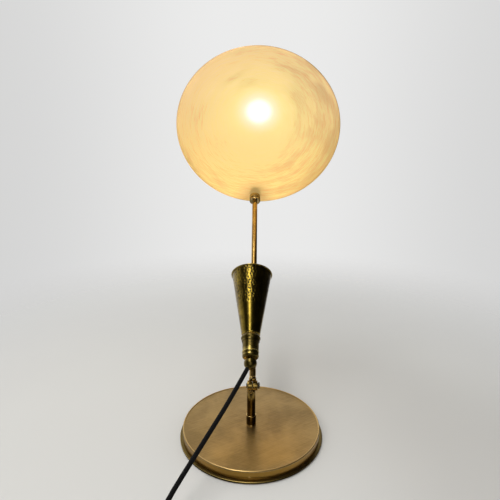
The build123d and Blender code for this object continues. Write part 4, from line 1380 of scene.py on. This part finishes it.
@dataclass
class ConeShade:
    """The hammered cone, with its plain foot and its rolled lip."""

    places: Places
    low: float = 63.3
    mouth: float = 174.9
    low_radius: float = 14.08
    slope: float = 0.1671
    bore: float = 11.05
    wall: float = 1.0
    lip: float = 1.35
    lip_height: float = 1.2
    hammered_from: float = 112.0
    hammered_full: float = 121.0
    mark_pitch: float = 5.5
    mark_radius: float = 1.7
    mark_depth: float = 0.42
    swell_size: float = 7.0
    swell: float = 0.24

    def radius(self, station: float) -> float:
        """The outer radius at a station."""
        return self.low_radius + (station - self.low) * self.slope

    def outline(self) -> Points:
        """The cone's outside up to the lip, over it and down inside."""
        low, mouth, rolled, inside = self.low, self.mouth, 0.62, 36
        made = [(self.bore, low), (self.radius(low) - 0.6, low), (self.radius(low + 0.5), low + 0.5)]
        end = mouth - self.lip_height - 0.6
        for start, stop, step in ((low + 1.5, self.hammered_from, 1.9), (self.hammered_from, end, 0.5)):
            made += [(self.radius(z), z) for z in between(start, stop, math.ceil((stop - start) / step))]
        made.append((self.radius(end), end))
        made += arc((self.radius(mouth) + self.lip - rolled - 0.1, mouth - rolled), rolled, -80, 110, 10)
        made += [(self.radius(mouth) - 0.4, mouth - 0.05), (self.radius(mouth) - self.wall, mouth - 0.4)]
        floor = low + self.wall
        made += [(self.radius(z) - self.wall, z) for z in between(mouth - 0.4, floor, inside)[1:] + [floor]]
        return made + [(self.bore, floor)]

    def strength(self, station: float) -> float:
        """How fully the surface is hammered at a station, from 0 to 1."""
        share = (station - self.hammered_from) / (self.hammered_full - self.hammered_from)
        return max(0.0, min(1.0, share))

    def marks(self) -> list[tuple[Vector, float, float]]:
        """The punch marks, in uneven staggered rows.

        Returns:
            Place in metres, radius in millimetres and share of the full depth of each mark.
        """
        chance = random.Random(11)
        made = []
        row_height = 0.88 * self.mark_pitch
        highest = self.mouth - self.lip_height - 1.5
        rows = int((highest - 0.5 - self.hammered_from) / row_height)
        for row in range(rows + 1):
            middle = self.hammered_from + row_height * (row + 0.5)
            count = round(TURN * self.radius(middle) / self.mark_pitch)
            shift = chance.random()
            for number in range(count):
                angle = TURN * (number + shift + chance.uniform(-0.28, 0.28)) / count
                station = min(middle + chance.uniform(-1.4, 1.4), highest)
                across = self.radius(station)
                share = chance.uniform(0.55, 1.0)
                if chance.random() > 0.25 + self.strength(station):
                    continue
                place = Vector((across * math.cos(angle), across * math.sin(angle), station)) * MM
                made.append((place, self.mark_radius * chance.uniform(0.8, 1.15), share))
        return made

    def hammer(self, cone: Solid) -> None:
        """Beats swells and punch marks into the outside, up to the lip."""
        swells = cone.vertex_groups.new(name="swells")
        punched = cone.vertex_groups.new(name="punched")
        outside = []
        for vertex in cone.data.vertices:
            across = math.hypot(vertex.co.x, vertex.co.y) / MM
            station = vertex.co.z / MM
            below_lip = station < self.mouth - self.lip_height - 0.3
            if below_lip and across > self.radius(station) - 0.4 * self.wall:
                outside.append(vertex.index)
                swells.add([vertex.index], self.strength(station), "REPLACE")
        tree = KDTree(len(outside))
        for index in outside:
            tree.insert(cone.data.vertices[index].co, index)
        tree.balance()
        kept_dark = cone.data.attributes.new("kept_dark", "FLOAT", "POINT")
        for place, radius, share in self.marks():
            for _, index, away in tree.find_range(place, radius * MM):
                depth = share * (1 - (away / (radius * MM)) ** 2)
                punched.add([index], depth, "REPLACE")
                kept_dark.data[index].value = depth
        lumps = bpy.data.textures.new("hammer_swell", "CLOUDS")
        lumps.noise_scale = self.swell_size * MM
        # A group is named here, as an applied modifier leaves no other handle on it valid
        for group, texture, level, depth in (("swells", lumps, 1.0, self.swell),
                                             ("punched", None, 0.0, -self.mark_depth)):
            choose(cone)
            step = cone.modifiers.new(group, "DISPLACE")
            step.texture_coords = "LOCAL"
            step.texture = texture
            step.direction = "NORMAL"
            step.vertex_group = group
            step.mid_level = level
            step.strength = depth * MM
            bpy.ops.object.modifier_apply(modifier=step.name)
        bpy.data.textures.remove(lumps)
        cone.vertex_groups.clear()

    def bronze(self) -> bpy.types.Material:
        """Dark bronze, rubbed bright on the ridges between the marks and turned at its foot."""
        coat = Coat("cone_hammered_bronze", self.places.head)
        rings = coat.noise(coat.rings(2300.0, 1.6), 1.0, 4.0, 0.6)
        clouds = coat.noise(coat.local, 60.0, 4.0, 0.6, 0.5)
        fine = coat.noise(coat.local, 900.0, 4.0, 0.65)
        colour = coat.mix(coat.ramp(rings * 0.3 + clouds * 0.7, 0.35, 0.65), (84, 68, 20), (142, 120, 44))
        rubbed = coat.ramp(coat.read("NewGeometry", "Pointiness"), 0.505, 0.54, 0.0, 0.6)
        colour = coat.mix(rubbed, colour, (204, 178, 92))
        hollow = coat.ramp(coat.read("Attribute", "Fac", attribute_name="kept_dark"), 0.05, 0.5, 0.0, 0.85)
        return coat.surface(Base_Color=coat.mix(hollow, colour, (38, 29, 9)), Metallic=1.0,
                            Roughness=coat.ramp(fine, 0.3, 0.7, 0.16, 0.26), Coat_Weight=0.08,
                            Coat_Roughness=0.14,
                            Normal=coat.bump(fine, 0.2, 0.05, coat.bump(rings, 0.25, 0.02)))

    def build(self) -> None:
        """Makes the cone."""
        cone = Bench.turn("cone_hammered_shade", self.outline(), segments=360)
        self.hammer(cone)
        Bench.finish(cone, "arm", "hammered_bronze", self.bronze(), "cone_shade", shade=50,
                     place=self.places.head)


@dataclass
class Bulb:
    """The reflector bulb's glass."""

    places: Places
    low: float = 66.0
    radius: float = 19.5
    shoulder: float = 106.0
    front: float = 119.5
    cap: float = 6.9

    def build(self) -> None:
        """Makes the glass with its smooth flank and its domed front."""
        outline = [(0, self.low + 0.02), (self.cap - 0.3, self.low + 0.02), (self.cap + 0.1, self.low + 3)]
        neck, foot, count = self.cap + 0.3, self.low + 5, 18
        for share in (index / count for index in range(count + 1)):
            bulge = math.sin(share * math.pi / 2) ** 1.25
            outline.append((neck + (self.radius - neck) * bulge, foot + (self.shoulder - 2 - foot) * share))
        reach = self.front - self.shoulder - 0.1
        outline += [(self.radius * math.cos(a), self.shoulder + reach * math.sin(a))
                    for a in between(0, math.pi / 2, 16)] + [(0, self.front - 0.1)]
        glass = LitGlass(self.shoulder).make("bulb_lit_glass", self.places.head)
        Bench.finish(Bench.turn("bulb_reflector_glass", outline, self.places.head, closed=False), "arm",
                     "bulb_glass", glass, "bulb_glass", shade=60)


def dress_inner_parts(places: Places) -> None:
    """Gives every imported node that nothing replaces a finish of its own."""
    base, head, arm = Matrix.Identity(4), places.head, places.arm
    zinc = DullSteel()
    bright = AgedBrass((224, 198, 136), (190, 160, 98), smoothest=0.2, roughest=0.32)
    copper = AgedBrass((214, 140, 96), (170, 96, 60), grain=Grain.DRAWN)
    finishes = (
        ("ballast", Plain((72, 70, 68), (50, 48, 46), 0.7, 700.0, 0.2, 0.4), "cast_iron", base),
        ("flange_screws", zinc, "zinc_screws", base),
        ("base_washer", zinc, "zinc_washer", base),
        ("base_nut", zinc, "zinc_nut", base),
        ("stem_nipple", zinc, "zinc_stem_nipple", base),
        ("bracket_screw", DullSteel((92, 86, 74), (46, 42, 36)), "grub_steel", arm),
        ("cord_inner", Plain((40, 39, 38), (14, 14, 15), 0.9, 900.0, 0.3), "inner_braid", head),
        ("core_wires", copper, "copper_cores", head),
        ("holder_nipple", zinc, "zinc_holder_nipple", head),
        ("holder_nut", zinc, "zinc_holder_nut", head),
        ("socket_insulator", Plain((236, 232, 222), (222, 216, 204), 0.35, relief=0.02), "insulator_ceramic",
         head),
        ("screw_shell", bright, "screw_shell_brass", head),
        ("terminals", bright, "terminal_brass", head),
        ("centre_contact", bright, "contact_brass", head),
        ("bulb_contact", bright, "bulb_contact_brass", head),
        ("shade_nut", holder_bronze(), "shade_nut_bronze", head),
        ("bulb_cap", DullSteel((206, 206, 204), (176, 176, 174), 0.3), "bulb_cap_metal", head),
        ("bulb_filament", DullSteel((120, 118, 116), (86, 84, 82)), "tungsten", head),
        ("ball_seat", Plain((232, 230, 222), (222, 219, 210), 0.4, relief=0.02), "nylon_seat", arm))
    for node, finish, name, place in finishes:
        shown = frame["nodes"][node]
        shown.data.materials.clear()
        shown.data.materials.append(finish.make(name, place))
    log.info("%d packed pieces dressed", len(finishes))


def main() -> None:
    """Builds the lamp and its studio in order."""
    places = Places.read()
    studio = Studio()
    studio.camera()
    lead = MainsLead(places)
    lead.build()
    Base().build()
    Stem().build()
    Knuckle(places).build()
    RodAndRings(places).build()
    head = LampHead(places)
    head.ball(Vector(lead.free[0]) * MM)
    head.cap()
    head.shell()
    head.bracket()
    ConeShade(places).build()
    Bulb(places).build()
    reflector = Reflector(places)
    reflector.dish()
    reflector.hardware()
    dress_inner_parts(places)
    studio.build()
    deselect()


if __name__ == "__main__":
    main()
